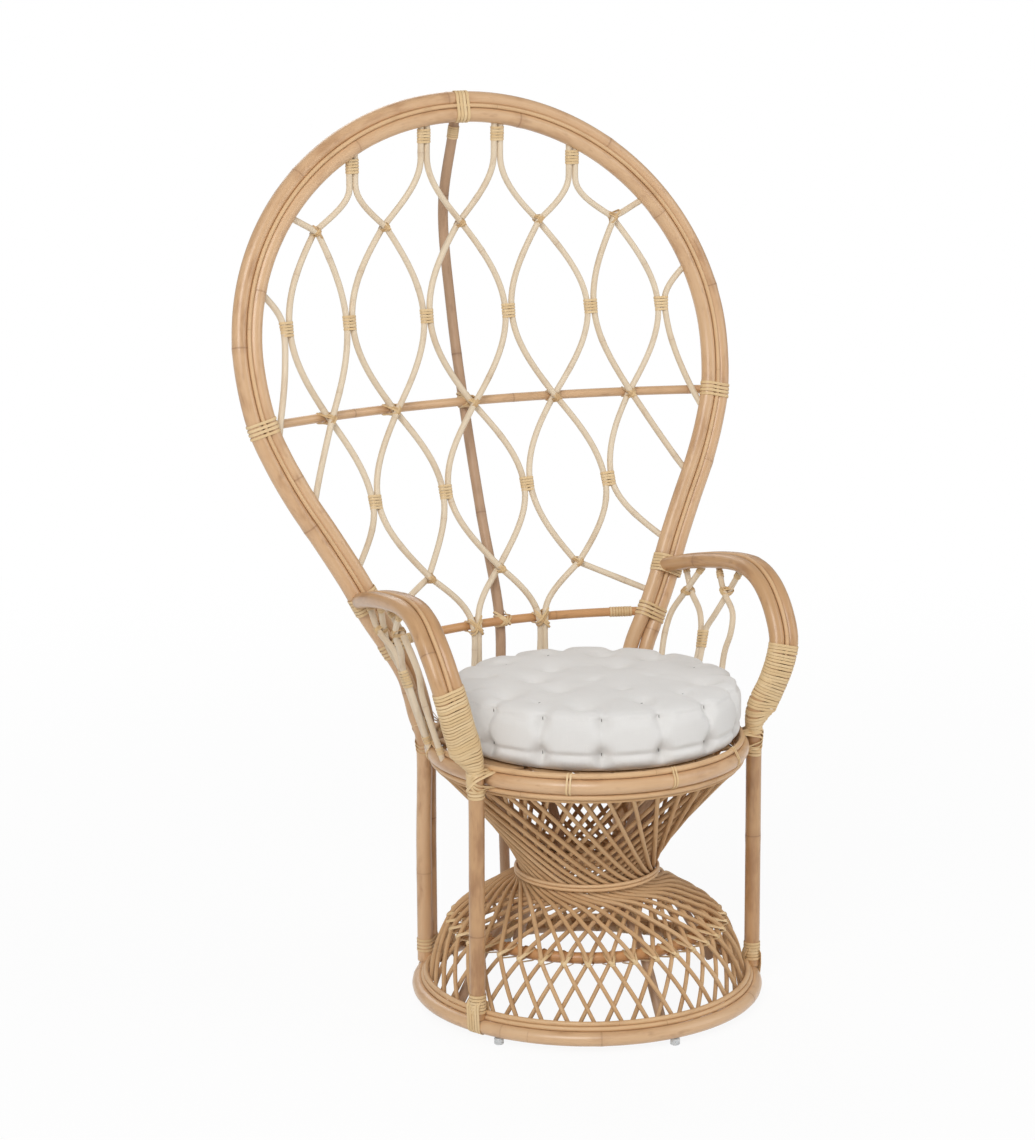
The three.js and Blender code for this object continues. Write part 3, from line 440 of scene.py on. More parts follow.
class Finish(Enum):
    """The finishes of the chair's pieces."""

    POLE = RattanFinish("peeled_pole", ((210, 170, 128), (166, 119, 78), (226, 194, 155), (140, 94, 60)),
                        roughness=0.38, coat=0.5, mottle=0.7, streaks=0.45)
    ARM = RattanFinish("peeled_arm_pole", ((195, 152, 107), (148, 102, 63), (213, 177, 133), (130, 86, 54)),
                       roughness=0.38, coat=0.5, mottle=0.7, streaks=0.45)
    CANE = RattanFinish("pale_lattice_cane",
                        ((223, 204, 176), (190, 159, 124), (236, 223, 202), (166, 128, 94)),
                        roughness=0.48, coat=0.15, mottle=0.45, joint_gap=0.23, joint_width=0.0014,
                        joint_shade=0.25, fibre=0.0005)
    BAR = RattanFinish("brown_bar", ((202, 148, 96), (152, 98, 56), (218, 174, 124), (118, 72, 42)),
                       roughness=0.4, coat=0.3, joint_gap=0.24)
    SPINE = RattanFinish("grey_brown_pole", ((184, 150, 120), (138, 105, 78), (206, 179, 150), (118, 84, 62)),
                         coat=0.15, joint_gap=0.27)
    WEAVE = RattanFinish("core_cane", ((202, 163, 118), (154, 112, 73), (222, 190, 150), (140, 98, 64)),
                         roughness=0.62, coat=0.03, mottle=0.45, streaks=0.45, joint_gap=0.37,
                         joint_width=0.0008, joint_shade=0.3, fibre=0.0005)
    RIM = RattanFinish("trim_cane", ((214, 175, 130), (170, 125, 83), (230, 199, 158), (144, 98, 62)),
                       roughness=0.48, coat=0.15, mottle=0.4, joint_gap=0.33, joint_width=0.0012,
                       joint_shade=0.3, fibre=0.0005)
    STRIP = StripFinish("binding_strip", ((222, 191, 143), (178, 138, 92), (235, 211, 170)))
    DECK = RattanFinish("deck_slat", ((196, 160, 120), (158, 122, 86), (214, 184, 148), (140, 102, 70)),
                        roughness=0.6, coat=0.05, joint_gap=0.4, joint_width=0.0008)
    LINEN = LinenFinish()
    THREAD = SpeckledFinish("grey_thread", linear(126, 122, 116), linear(84, 80, 76), scale=900.0, share=1.0,
                            roughness=0.8, roughened=0.15, relief=0.0002)
    GLIDE = SpeckledFinish("clear_glide_plastic", linear(226, 229, 230), linear(200, 203, 205), scale=260.0,
                           share=0.3, roughness=0.18, roughened=0.25, relief=0.0001, detail=3.0, clear=0.35)


@cache
def material_of(finish: Finish) -> bpy.types.Material:
    """Returns the material of a finish, which is made once."""
    return finish.value.material()


# Modelling helpers


def deselect() -> None:
    """Leaves nothing selected."""
    bpy.ops.object.select_all(action="DESELECT")


def select_only(*pieces: Piece) -> None:
    """Selects these pieces alone, the first one active."""
    deselect()
    for piece in pieces:
        piece.select_set(True)
    bpy.context.view_layer.objects.active = pieces[0]


def added(primitive: Callable, **settings: object) -> Piece:
    """Adds a primitive that alone is selected.

    Args:
        primitive: Blender's operator.
        settings: its settings by name.

    Returns:
        The new object.
    """
    deselect()
    primitive(**settings)
    return bpy.context.object


def settle(piece: Piece, angle: float = 40.0) -> None:
    """Puts the piece's place into its mesh and smooths the faces that meet under an angle."""
    select_only(piece)
    bpy.ops.object.transform_apply(location=True, rotation=True, scale=True)
    bpy.ops.object.shade_smooth_by_angle(angle=math.radians(angle))


def points_of(piece: Piece) -> Rows:
    """Returns the mesh's vertices as an array of rows."""
    flat = np.empty(len(piece.data.vertices) * 3)
    piece.data.vertices.foreach_get("co", flat)
    return flat.reshape(-1, 3)


def move_points(piece: Piece, places: Rows) -> None:
    """Moves the mesh's vertices to an array of rows."""
    piece.data.vertices.foreach_set("co", places.astype(np.float32).ravel())
    piece.data.update()


def keep(piece: Piece, name: str, rows: Rows, domain: str = "POINT") -> None:
    """Keeps numbers or vectors as an attribute of the mesh.

    Args:
        piece: whose mesh it is.
        name: the attribute's name.
        rows: a row of numbers, or an array of vectors.
        domain: what has one each, vertices or face corners.
    """
    kind, part = ("FLOAT", "value") if rows.ndim == 1 else ("FLOAT_VECTOR", "vector")
    layer = piece.data.attributes.new(name, kind, domain)
    layer.data.foreach_set(part, rows.astype(np.float32).ravel())


def modified(piece: Piece, kind: str, **settings: object) -> None:
    """Adds a modifier to a piece and applies it.

    Args:
        piece: the piece.
        kind: the modifier's type.
        settings: its settings by name.
    """
    modifier = piece.modifiers.new(kind.lower(), kind)
    for key, value in settings.items():
        setattr(modifier, key, value)
    select_only(piece)
    bpy.ops.object.modifier_apply(modifier=modifier.name)


def twin_of(piece: Piece, places: Rows | None = None) -> Piece:
    """Copies a piece with its own mesh.

    Args:
        piece: the piece.
        places: where the copy's vertices go, if they move.

    Returns:
        The copy.
    """
    twin = piece.copy()
    twin.data = piece.data.copy()
    bpy.context.collection.objects.link(twin)
    if places is not None:
        move_points(twin, places)
    return twin


def joined(copies: Sequence[Piece], name: str, angle: float = 40.0) -> Piece:
    """Joins copies into one finished piece.

    Args:
        copies: the copies.
        name: the piece's name.
        angle: faces that meet under it, in degrees, are shaded smooth.

    Returns:
        The piece.
    """
    select_only(*copies)
    bpy.ops.object.join()
    copies[0].name = name
    settle(copies[0], angle)
    return copies[0]


def dress(piece: Piece, finish: Finish,
          nodes: Sequence[str] = (), body: str = FRAME_BODY) -> None:
    """Gives a finished piece its material, its body and the nodes that it stands for.

    Args:
        piece: the finished piece.
        finish: its finish.
        nodes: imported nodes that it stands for.
        body: the body that it moves with.
    """
    piece.data.materials.clear()
    piece.data.materials.append(material_of(finish))
    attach(piece, body)
    if nodes:
        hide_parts(*nodes)
    LOG.info("%s: %d faces", piece.name, len(piece.data.polygons))


@dataclass
class CaneSet:
    """A piece of poles or canes, each a route and a radius, swept by a bevelled curve and made a mesh."""

    name: str
    runs: list[Run]
    rng: random.Random
    joint_gap: float
    joint_length: float = 0.006
    roundness: int = 3
    swell: float = 0.035
    tone_spread: float = 0.5

    def _radii(self, radius: float, lengths: Rows, phase: float) -> Rows:
        """Thickens a pole or cane a little at its joints.

        Args:
            radius: between the joints.
            lengths: of each point along it.
            phase: length of the cane's growth before the run starts.

        Returns:
            The radius at each point.
        """
        place = np.abs(((lengths + phase) / self.joint_gap) % 1.0 - 0.5) * self.joint_gap
        near = (self.joint_gap / 2 - place) / self.joint_length
        return radius * (1 + self.swell * np.exp(-near ** 2))

    def build(self) -> Piece:
        """Sweeps the runs and keeps their straightened coordinates and tones as attributes.

        Returns:
            The mesh object, with its place in its mesh.
        """
        piece = added(bpy.ops.curve.primitive_nurbs_path_add)
        piece.name = self.name
        curve = piece.data
        curve.splines.clear()
        curve.dimensions = "3D"
        curve.bevel_depth = 1.0
        curve.bevel_resolution = self.roundness
        sides = 4 + 2 * self.roundness
        straight, tones = [], []
        for route, radius in self.runs:
            spline = curve.splines.new("POLY")
            spline.points.add(len(route) - 1)
            spline.points.foreach_set("co", [part for place in route for part in (*place, 1.0)])
            steps = [(end - start).length for start, end in zip(route, route[1:])]
            lengths = np.concatenate(([0.0], np.cumsum(steps)))
            phase = self.rng.uniform(0, self.joint_gap) + self.joint_gap * self.rng.randrange(40)
            radii = self._radii(radius, lengths, phase)
            spline.points.foreach_set("radius", radii)
            angles = np.arange(sides) * 2 * math.pi / sides
            ring = np.stack([np.cos(angles), np.sin(angles)], -1)
            rows = np.zeros((len(route), sides, 3))
            rows[:, :, :2] = ring[None] * radii[:, None, None]
            rows[:, :, 2] = (lengths + phase)[:, None]
            straight.append(rows.reshape(-1, 3))
            tones.append(np.full(rows.shape[0] * sides, self.rng.uniform(-1, 1) * self.tone_spread))
        piece.select_set(True)
        bpy.ops.object.convert(target="MESH")
        keep(piece, "straight", np.concatenate(straight))
        keep(piece, "tone", np.concatenate(tones))
        bpy.ops.object.mode_set(mode="EDIT")
        bpy.ops.mesh.select_all(action="SELECT")
        bpy.ops.mesh.fill_holes(sides=0)
        bpy.ops.object.mode_set(mode="OBJECT")
        settle(piece)
        return piece


@dataclass(frozen=True)
class Rod:
    """A pole or cane where strip goes round it: a place on it, its unit direction and its radius."""

    place: Vector
    way: Vector
    radius: float

    def section(self, centre: Vector, axis: Vector) -> tuple[Vector, Vector]:
        """Cuts the rod with the plane of a turn.

        Args:
            centre: a place on the plane.
            axis: the plane's normal.

        Returns:
            The cut's middle from the centre, and how far it reaches past a circle on either side.
        """
        slope = self.way.dot(axis)
        steep = max(abs(slope), 0.25)
        travel = (centre - self.place).dot(axis) / slope if abs(slope) > 0.25 else 0.0
        lean = self.way - axis * slope
        middle = self.place + self.way * travel - centre
        return middle - axis * middle.dot(axis), lean.normalized() * self.radius * min(1 / steep - 1, 0.55)


def rod_near(route: Sequence[Vector], place: Vector, radius: float) -> Rod:
    """Returns the rod of a route where it passes nearest to a place."""
    index = min(range(len(route)), key=lambda i: (route[i] - place).length_squared)
    index = max(1, min(len(route) - 2, index))
    return Rod(route[index], (route[index + 1] - route[index - 1]).normalized(), radius)


def rod_at(route: Sequence[Vector], height: float, radius: float) -> Rod | None:
    """Returns the rod of a route at the last place where it crosses a height, if it does."""
    for start, end in reversed(list(zip(route, route[1:]))):
        if (start.z - height) * (end.z - height) <= 0 and start.z != end.z:
            share = (height - start.z) / (end.z - start.z)
            return Rod(start.lerp(end, share), (end - start).normalized(), radius)
    return None


@dataclass
class Turn:
    """One closed turn of strip, drawn tight round some circles in its own plane."""

    centre: Vector
    axis: Vector
    across: Vector
    circles: list[tuple[float, float, float]]
    width: float
    thickness: float
    tilt: float
    tone: float = 0.0


@dataclass
class Binding:
    """A piece made of many turns of binding strip, each a copy of one flattened ring."""

    name: str
    rng: random.Random
    turns: list[Turn] = field(default_factory=list)
    loop_steps: int = 24
    section_steps: int = 6

    def bind(self, rods: Sequence[Rod], axis: Vector, count: int, width: float = 0.005,
             pitch: float = 1.05, tilt: float = 0.0, thickness: float = 0.0012, tone: float = 0.0) -> None:
        """Adds turns side by side round some rods.

        Args:
            rods: what the strip goes round.
            axis: the direction in which the turns follow each other.
            count: number of turns.
            width: of the strip.
            pitch: distance between turns, in widths.
            tilt: slant of each turn, in widths over the loop.
            thickness: of the strip.
            tone: how pale the strip is, and below -0.8 how brown.
        """
        axis = axis.normalized()
        middle = sum((rod.place for rod in rods), Vector()) / len(rods)
        across = axis.orthogonal().normalized()
        up = axis.cross(across)
        for index in range(count):
            offset = (index - (count - 1) / 2) * width * pitch + self.rng.uniform(-0.05, 0.05) * width
            centre = middle + axis * offset
            circles = []
            for rod in rods:
                place, stretch = rod.section(centre, axis)
                for side in (place + stretch, place - stretch):
                    circles.append((side.dot(across), side.dot(up), rod.radius))
            self.turns.append(Turn(centre, axis, across, circles, width * self.rng.uniform(0.93, 1.02),
                                   thickness * self.rng.uniform(0.9, 1.1), tilt * width, tone))

    def lash(self, rods: Sequence[Rod], first: Vector, second: Vector, count: int = 2,
             width: float = 0.0045, pitch: float = 0.95, tone: float = 0.0) -> None:
        """Adds an X of turns round rods that cross, on both diagonals of two directions."""
        for sign in (1, -1):
            self.bind(rods, first.normalized() + second.normalized() * sign, count, width, pitch,
                      thickness=0.0012 + 0.0006 * (sign < 0), tone=tone)

    def build(self) -> Piece:
        """Copies the ring for every turn and shapes each copy to what it goes round.

        Returns:
            The mesh object.
        """
        unit = added(bpy.ops.mesh.primitive_torus_add, major_segments=self.loop_steps,
                     minor_segments=self.section_steps, major_radius=1.0, minor_radius=0.5)
        copies = [unit, *(twin_of(unit) for _ in self.turns[1:])]
        for copy, turn in zip(copies, self.turns):
            self._shape(copy, turn)
        return joined(copies, self.name, 60)

    def _shape(self, copy: Piece, turn: Turn) -> None:
        """Draws one copy of the ring round the circles of a turn.

        Args:
            copy: the ring's copy.
            turn: what it goes round.
        """
        base = points_of(copy)
        angle = np.arctan2(base[:, 1], base[:, 0])
        normals = np.stack([np.cos(angle), np.sin(angle)], -1)
        circles = np.array(turn.circles)
        support = normals @ circles[:, :2].T + circles[:, 2]
        best = circles[np.argmax(support + np.arange(len(circles)) * 1e-7, axis=1)]
        grown = (np.hypot(base[:, 0], base[:, 1]) - 0.5) * turn.thickness
        flat = best[:, :2] + normals * (best[:, 2] + grown)[:, None]
        along = base[:, 2] * turn.width + normals[:, 0] * turn.tilt / 2
        frame_rows = np.array([turn.across, turn.axis.cross(turn.across), turn.axis])
        places = np.column_stack([flat, along]) @ frame_rows + np.array(turn.centre)
        move_points(copy, places)
        lap = angle * best[:, 2].mean() + self.rng.uniform(0, 9)
        keep(copy, "straight", np.stack([along, grown, lap], -1))
        keep(copy, "tone", np.full(len(base), turn.tone + self.rng.uniform(-0.8, 0.8)))


# Sub-assemblies


@dataclass
class ChairSizes:
    """Sizes that the sub-assemblies share."""

    fit_gap: float = 0.0003
    pole: float = 0.0125
    pair: float = 0.0128
    base_radius: float = 0.2715
    base_pole: float = 0.011
    base_height: float = 0.0213
    base_trim: float = 0.004
    seat_radius: float = 0.2465
    seat_pole: float = 0.012
    seat_height: float = 0.414
    seat_trim: float = 0.00425
    front_leg: float = 68.5
    rear_leg: float = 135.5
    weave_cane: float = 0.0035
    lattice_cane: float = 0.00525
    bar: float = 0.0075

    @property
    def leg_seat_radius(self) -> float:
        """Distance of a leg's centre from the axis at the seat ring."""
        return self.seat_radius + self.seat_pole + self.fit_gap + self.pole

    @property
    def leg_foot_height(self) -> float:
        """Height at which the legs stand on the base ring."""
        return self.base_height + self.base_pole + self.fit_gap

    @property
    def seat_trim_step(self) -> float:
        """Distance of the seat's trim canes from the middle of its pole."""
        return self.seat_pole + self.fit_gap + self.seat_trim


@dataclass
class Assembly:
    """What every sub-assembly shares: a source of variation, sizes and ways to finish its pieces."""

    rng: random.Random
    sizes: ChairSizes

    def sweep(self, name: str, runs: list[Run], finish: Finish, slot: Slot,
              nodes: Sequence[str] = (), **options: object) -> Piece:
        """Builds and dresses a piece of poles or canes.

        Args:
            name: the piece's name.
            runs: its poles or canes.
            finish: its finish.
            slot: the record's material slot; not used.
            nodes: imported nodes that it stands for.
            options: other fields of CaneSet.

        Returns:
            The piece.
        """
        piece = CaneSet(name, runs, self.rng, finish.value.joint_gap, **options).build()
        dress(piece, finish, nodes)
        return piece

    def tie(self, binding: Binding, nodes: Sequence[str] = ()) -> Piece:
        """Builds and dresses a piece of binding strip."""
        piece = binding.build()
        dress(piece, Finish.STRIP, nodes)
        return piece


def ring_route(radius: float, height: float, spacing: float = 0.008, joint: float = 150.0) -> Route:
    """Returns a full circle round the axis of the base, its ends on each other at the joint's azimuth."""
    steps = max(24, round(2 * math.pi * radius / spacing))
    return [around(radius, joint + 360 * step / steps, height) for step in range(steps + 1)]


@dataclass
class Base(Assembly):
    """Floor ring, its two trim canes and the glides under it."""

    glide_radius: float = 0.0075
    glide_height: float = 0.0102
    glide_count: int = 6
    glide_edge: float = 0.0016
    trim_inset: float = 0.68
    trim_growth: float = 0.0001

    def trims(self) -> list[tuple[float, float]]:
        """Returns the radius and height of the lower and the upper trim cane."""
        sizes = self.sizes
        inset = sizes.base_pole * self.trim_inset
        reach = sizes.base_pole + sizes.base_trim
        lower = (sizes.base_radius - inset, sizes.base_height + math.sqrt(reach ** 2 - inset ** 2))
        step = sizes.base_trim * 2
        return [lower, (lower[0] - step * 0.5, lower[1] + step * 0.87)]

    def build(self) -> None:
        """Builds the ring, the trims and the glides."""
        sizes = self.sizes
        ring = (ring_route(sizes.base_radius, sizes.base_height, joint=-49), sizes.base_pole)
        self.sweep("base_ring_pole", [ring], Finish.POLE, Slot.POLE, ["base_ring"], roundness=5)
        for label, (radius, height) in zip(("lower", "upper"), self.trims()):
            trim = (ring_route(radius, height), sizes.base_trim + self.trim_growth)
            self.sweep(f"base_trim_cane_{label}", [trim], Finish.RIM, Slot.CANE, [f"base_trim_{label}"])
        self._glides()

    def _glides(self) -> None:
        """Models one glide as a turned cup and copies it round the ring."""
        first = added(bpy.ops.mesh.primitive_cylinder_add, vertices=28, radius=self.glide_radius,
                      depth=self.glide_height, location=(0, 0, self.glide_height / 2))
        bpy.ops.object.transform_apply(location=True)
        modified(first, "BEVEL", width=self.glide_edge, segments=3)
        for index, glide in enumerate([first, *(twin_of(first) for _ in range(1, self.glide_count))]):
            glide.name = f"floor_glide_{index + 1}"
            glide.location = around(self.sizes.base_radius, 360 * index / self.glide_count, 0)
            settle(glide)
            dress(glide, Finish.GLIDE, [f"glide_{index + 1}"])


@dataclass
class Seat(Assembly):
    """Seat ring, its trim canes and the deck of slats under the cushion."""

    slat_width: float = 0.042
    slat_pitch: float = 0.048
    slat_thickness: float = 0.005
    slat_inset: float = 0.009
    batten_share: float = 0.36

    def build(self) -> None:
        """Builds the ring, the trims and the deck."""
        sizes = self.sizes
        ring = (ring_route(sizes.seat_radius, sizes.seat_height), sizes.seat_pole)
        self.sweep("seat_ring_pole", [ring], Finish.POLE, Slot.POLE, ["seat_ring"], roundness=5)
        for label, side in (("upper", 1), ("lower", -1)):
            route = ring_route(sizes.seat_radius, sizes.seat_height + side * sizes.seat_trim_step)
            trim = (route, sizes.seat_trim + sizes.fit_gap)
            self.sweep(f"seat_trim_cane_{label}", [trim], Finish.RIM, Slot.CANE, [f"seat_trim_{label}"])
        self._deck()

    def _deck(self) -> None:
        """Models one rounded slat, copies it across the ring and lays two battens under the copies."""
        low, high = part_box("seat_deck")
        bottom = high[2] - self.slat_thickness
        room = self.sizes.seat_radius - self.slat_inset
        each_side = int((room - self.slat_width) / self.slat_pitch)
        slats = [(place * self.slat_pitch, math.sqrt(room ** 2 - (abs(place) * self.slat_pitch
                                                                 + self.slat_width / 2) ** 2))
                 for place in range(-each_side, each_side + 1)]
        first = added(bpy.ops.mesh.primitive_cube_add, size=1.0)
        first.scale = (self.slat_width, 2.0, self.slat_thickness)
        bpy.ops.object.transform_apply(scale=True)
        modified(first, "BEVEL", width=self.slat_thickness * 0.3, segments=3)
        top = bottom + self.slat_thickness / 2
        copies = [self._lay(first, Vector((x, AXIS_Y, top)), half, False) for x, half in slats]
        under = low[2] + self.slat_thickness / 2
        clear = self.sizes.seat_radius - self.sizes.seat_pole - self.sizes.fit_gap * 5
        reach = math.sqrt(clear ** 2 - (room * self.batten_share + self.slat_width / 2) ** 2)
        for side in (-1, 1):
            middle = Vector((0, AXIS_Y + side * room * self.batten_share, under))
            copies.append(self._lay(first, middle, reach, True))
        bpy.data.objects.remove(first)
        deck = joined(copies, "seat_deck_slats")
        dress(deck, Finish.DECK, ["seat_deck"])

    def _lay(self, slat: Piece, middle: Vector, half: float, turned: bool) -> Piece:
        """Lays one copy of the slat.

        Args:
            slat: the slat that is copied, 2 m long.
            middle: where the copy's middle goes.
            half: half of the copy's length.
            turned: whether it runs across the seat.

        Returns:
            The copy.
        """
        rows = points_of(slat)
        rows[:, 1] = np.sign(rows[:, 1]) * (half - (1 - np.abs(rows[:, 1])))
        straight = np.stack([rows[:, 0], rows[:, 2], rows[:, 1] + self.rng.uniform(0, 9)], -1)
        if turned:
            rows = np.stack([rows[:, 1], -rows[:, 0], rows[:, 2]], -1)
        copy = twin_of(slat, rows + np.array(middle))
        keep(copy, "straight", straight)
        keep(copy, "tone", np.full(len(rows), self.rng.uniform(-0.6, 0.6)))
        return copy


Profile = list[tuple[float, float]]


def inset_profile(rows: Profile, inset: float) -> Profile:
    """Returns a profile of (radius, height) rows moved inwards, square to itself."""
    moved = []
    for index, (radius, height) in enumerate(rows):
        before, after = rows[max(index - 1, 0)], rows[min(index + 1, len(rows) - 1)]
        along = Vector((after[0] - before[0], after[1] - before[1])).normalized()
        moved.append((radius + along.y * inset, height - along.x * inset))
    return moved


@dataclass
class Hourglass(Assembly):
    """Two crossing hands of canes, their waist bands, and the ring and posts inside them."""

    count: int = 38
    reach: float = 0.106
    waist_radius: float = 0.110
    waist_height: float = 0.211
    neck_height: float = 0.030
    layer_inset: float = 0.0076
    band: float = 0.003
    ring: float = 0.009
    ring_height: float = 0.124
    post: float = 0.008
    post_count: int = 4
    post_inset: float = 0.00875
    skirt_twist: float = 10.0
    knot_azimuth: float = -29.5
    skirt_shares: Table = ((0.18, 0.057), (0.38, 0.16), (0.72, 0.36), (0.895, 0.635), (1.0, 1.0))

    def rows(self) -> Profile:
        """Returns the outer layer's middle line as (radius, height) from the seat to the base."""
        sizes = self.sizes
        low = self.waist_height - self.neck_height / 2
        head = (sizes.seat_radius - sizes.weave_cane * 1.4,
                sizes.seat_height - sizes.seat_trim_step - sizes.weave_cane * 2)
        foot = (sizes.base_radius - sizes.base_pole - sizes.fit_gap * 2 - sizes.weave_cane, sizes.base_height)
        rows = [head, (self.waist_radius, low + self.neck_height), (self.waist_radius, low)]
        return rows + [(self.waist_radius + (foot[0] - self.waist_radius) * out, low + (foot[1] - low) * down)
                       for out, down in self.skirt_shares]

    def ring_radius(self) -> float:
        """Returns the radius of the inner ring's middle line."""
        low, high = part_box("inner_ring")
        return (high[0] - low[0]) / 2 - self.ring

    def flat_route(self, inset: float) -> Route:
        """Returns a cane laid flat, as (distance from its closest approach, height)."""
        reach = self.reach - inset
        rows = inset_profile(self.rows(), inset)
        flat = [Vector((math.copysign(math.sqrt(max(radius ** 2 - reach ** 2, 0)), index - 1.5), height, 0))
                for index, (radius, height) in enumerate(rows)]
        return smooth_route(flat, 0.011)

    def turn(self, along: float, height: float, reach: float) -> float:
        """Returns the degrees round the axis from a cane's closest approach to a place on it."""
        below = (self.ring_height - height) / (self.ring_height - self.sizes.base_height)
        return math.degrees(math.atan2(along, reach)) + self.skirt_twist * max(below, 0)

    def cane(self, inset: float, hand: int, index: float) -> Route:
        """Returns the route of one cane.

        Args:
            inset: how far inside the outer layer it lies.
            hand: 1 or -1, the way that it slants.
            index: its place in the layer.

        Returns:
            The route from the seat to the base.
        """
        reach = self.reach - inset
        flat = self.flat_route(inset)
        below = [place for place in flat if place.x > 0][::-1]
        knot = float(np.interp(self.ring_height, [p.y for p in below], [p.x for p in below]))
        start = self.knot_azimuth - hand * self.turn(knot, self.ring_height, reach) + 360 * index / self.count
        return [around(math.hypot(place.x, reach), start + hand * self.turn(place.x, place.y, reach), place.y)
                for place in flat]

    def post_route(self, azimuth: float) -> Route:
        """Returns the route of an inner post from the seat ring through the neck to the floor ring."""
        sizes = self.sizes
        rows = self.rows()
        inset = self.post_inset + sizes.weave_cane + sizes.fit_gap + self.post
        guide = []
        for share in (0.9, 0.6, 0.3):
            ends = [math.sqrt(radius ** 2 - self.reach ** 2) for radius in (self.waist_radius, rows[0][0])]
            along = ends[0] + (ends[1] - ends[0]) * share
            guide.append((math.hypot(along, self.reach), rows[1][1] + (rows[0][1] - rows[1][1]) * share))
        guide = inset_profile(guide + rows[1:], inset * 1.15)[:6]
        beside_ring = self.ring_radius() - (self.ring + sizes.fit_gap + self.post) * 1.18
        foot = sizes.base_radius - sizes.base_pole - sizes.fit_gap - inset * 1.2
        plan = [(sizes.seat_radius - sizes.seat_pole - sizes.fit_gap - self.post, sizes.seat_height), *guide,
                (beside_ring, self.ring_height), (foot, 0.010 + self.post)]
        return smooth_route([around(radius, azimuth, height) for radius, height in plan], 0.012)

    def build(self) -> None:
        """Builds both hands with their rim canes, the bands, the inner ring and the posts."""
        rng = self.rng
        head = self.rows()[0]
        for label, inset, hand in (("outer", 0.0, 1), ("inner", self.layer_inset, -1)):
            runs = []
            for index in range(self.count):
                route = self.cane(inset, hand, index + rng.uniform(-0.025, 0.025))
                runs.append((route, self.sizes.weave_cane * rng.uniform(0.96, 1.03)))
            rim = ring_route(head[0] - inset * 0.85, head[1] + inset * 0.5)
            runs.append((rim, self.sizes.weave_cane))
            self.sweep(f"base_canes_{label}", runs, Finish.WEAVE, Slot.WEAVE, [f"weave_{label}"],
                       roundness=2, swell=0.0, tone_spread=0.9)
        band_radius = self.reach + self.sizes.weave_cane + self.band + 0.0015
        for label, side in (("upper", 1), ("lower", -1)):
            height = self.waist_height + side * self.band * 1.02
            run = (ring_route(band_radius, height, 0.006), self.band)
            self.sweep(f"waist_cane_{label}", [run], Finish.RIM, Slot.CANE, [f"waist_band_{label}"])
        inner = (ring_route(self.ring_radius(), self.ring_height), self.ring)
        self.sweep("knot_ring_pole", [inner], Finish.BAR, Slot.POLE, ["inner_ring"], roundness=4)
        for index in range(self.post_count):
            run = (self.post_route(360 * index / self.post_count), self.post)
            self.sweep(f"inner_post_pole_{index + 1}", [run], Finish.SPINE, Slot.POLE,
                       [f"inner_post_{index + 1}"], roundness=4)


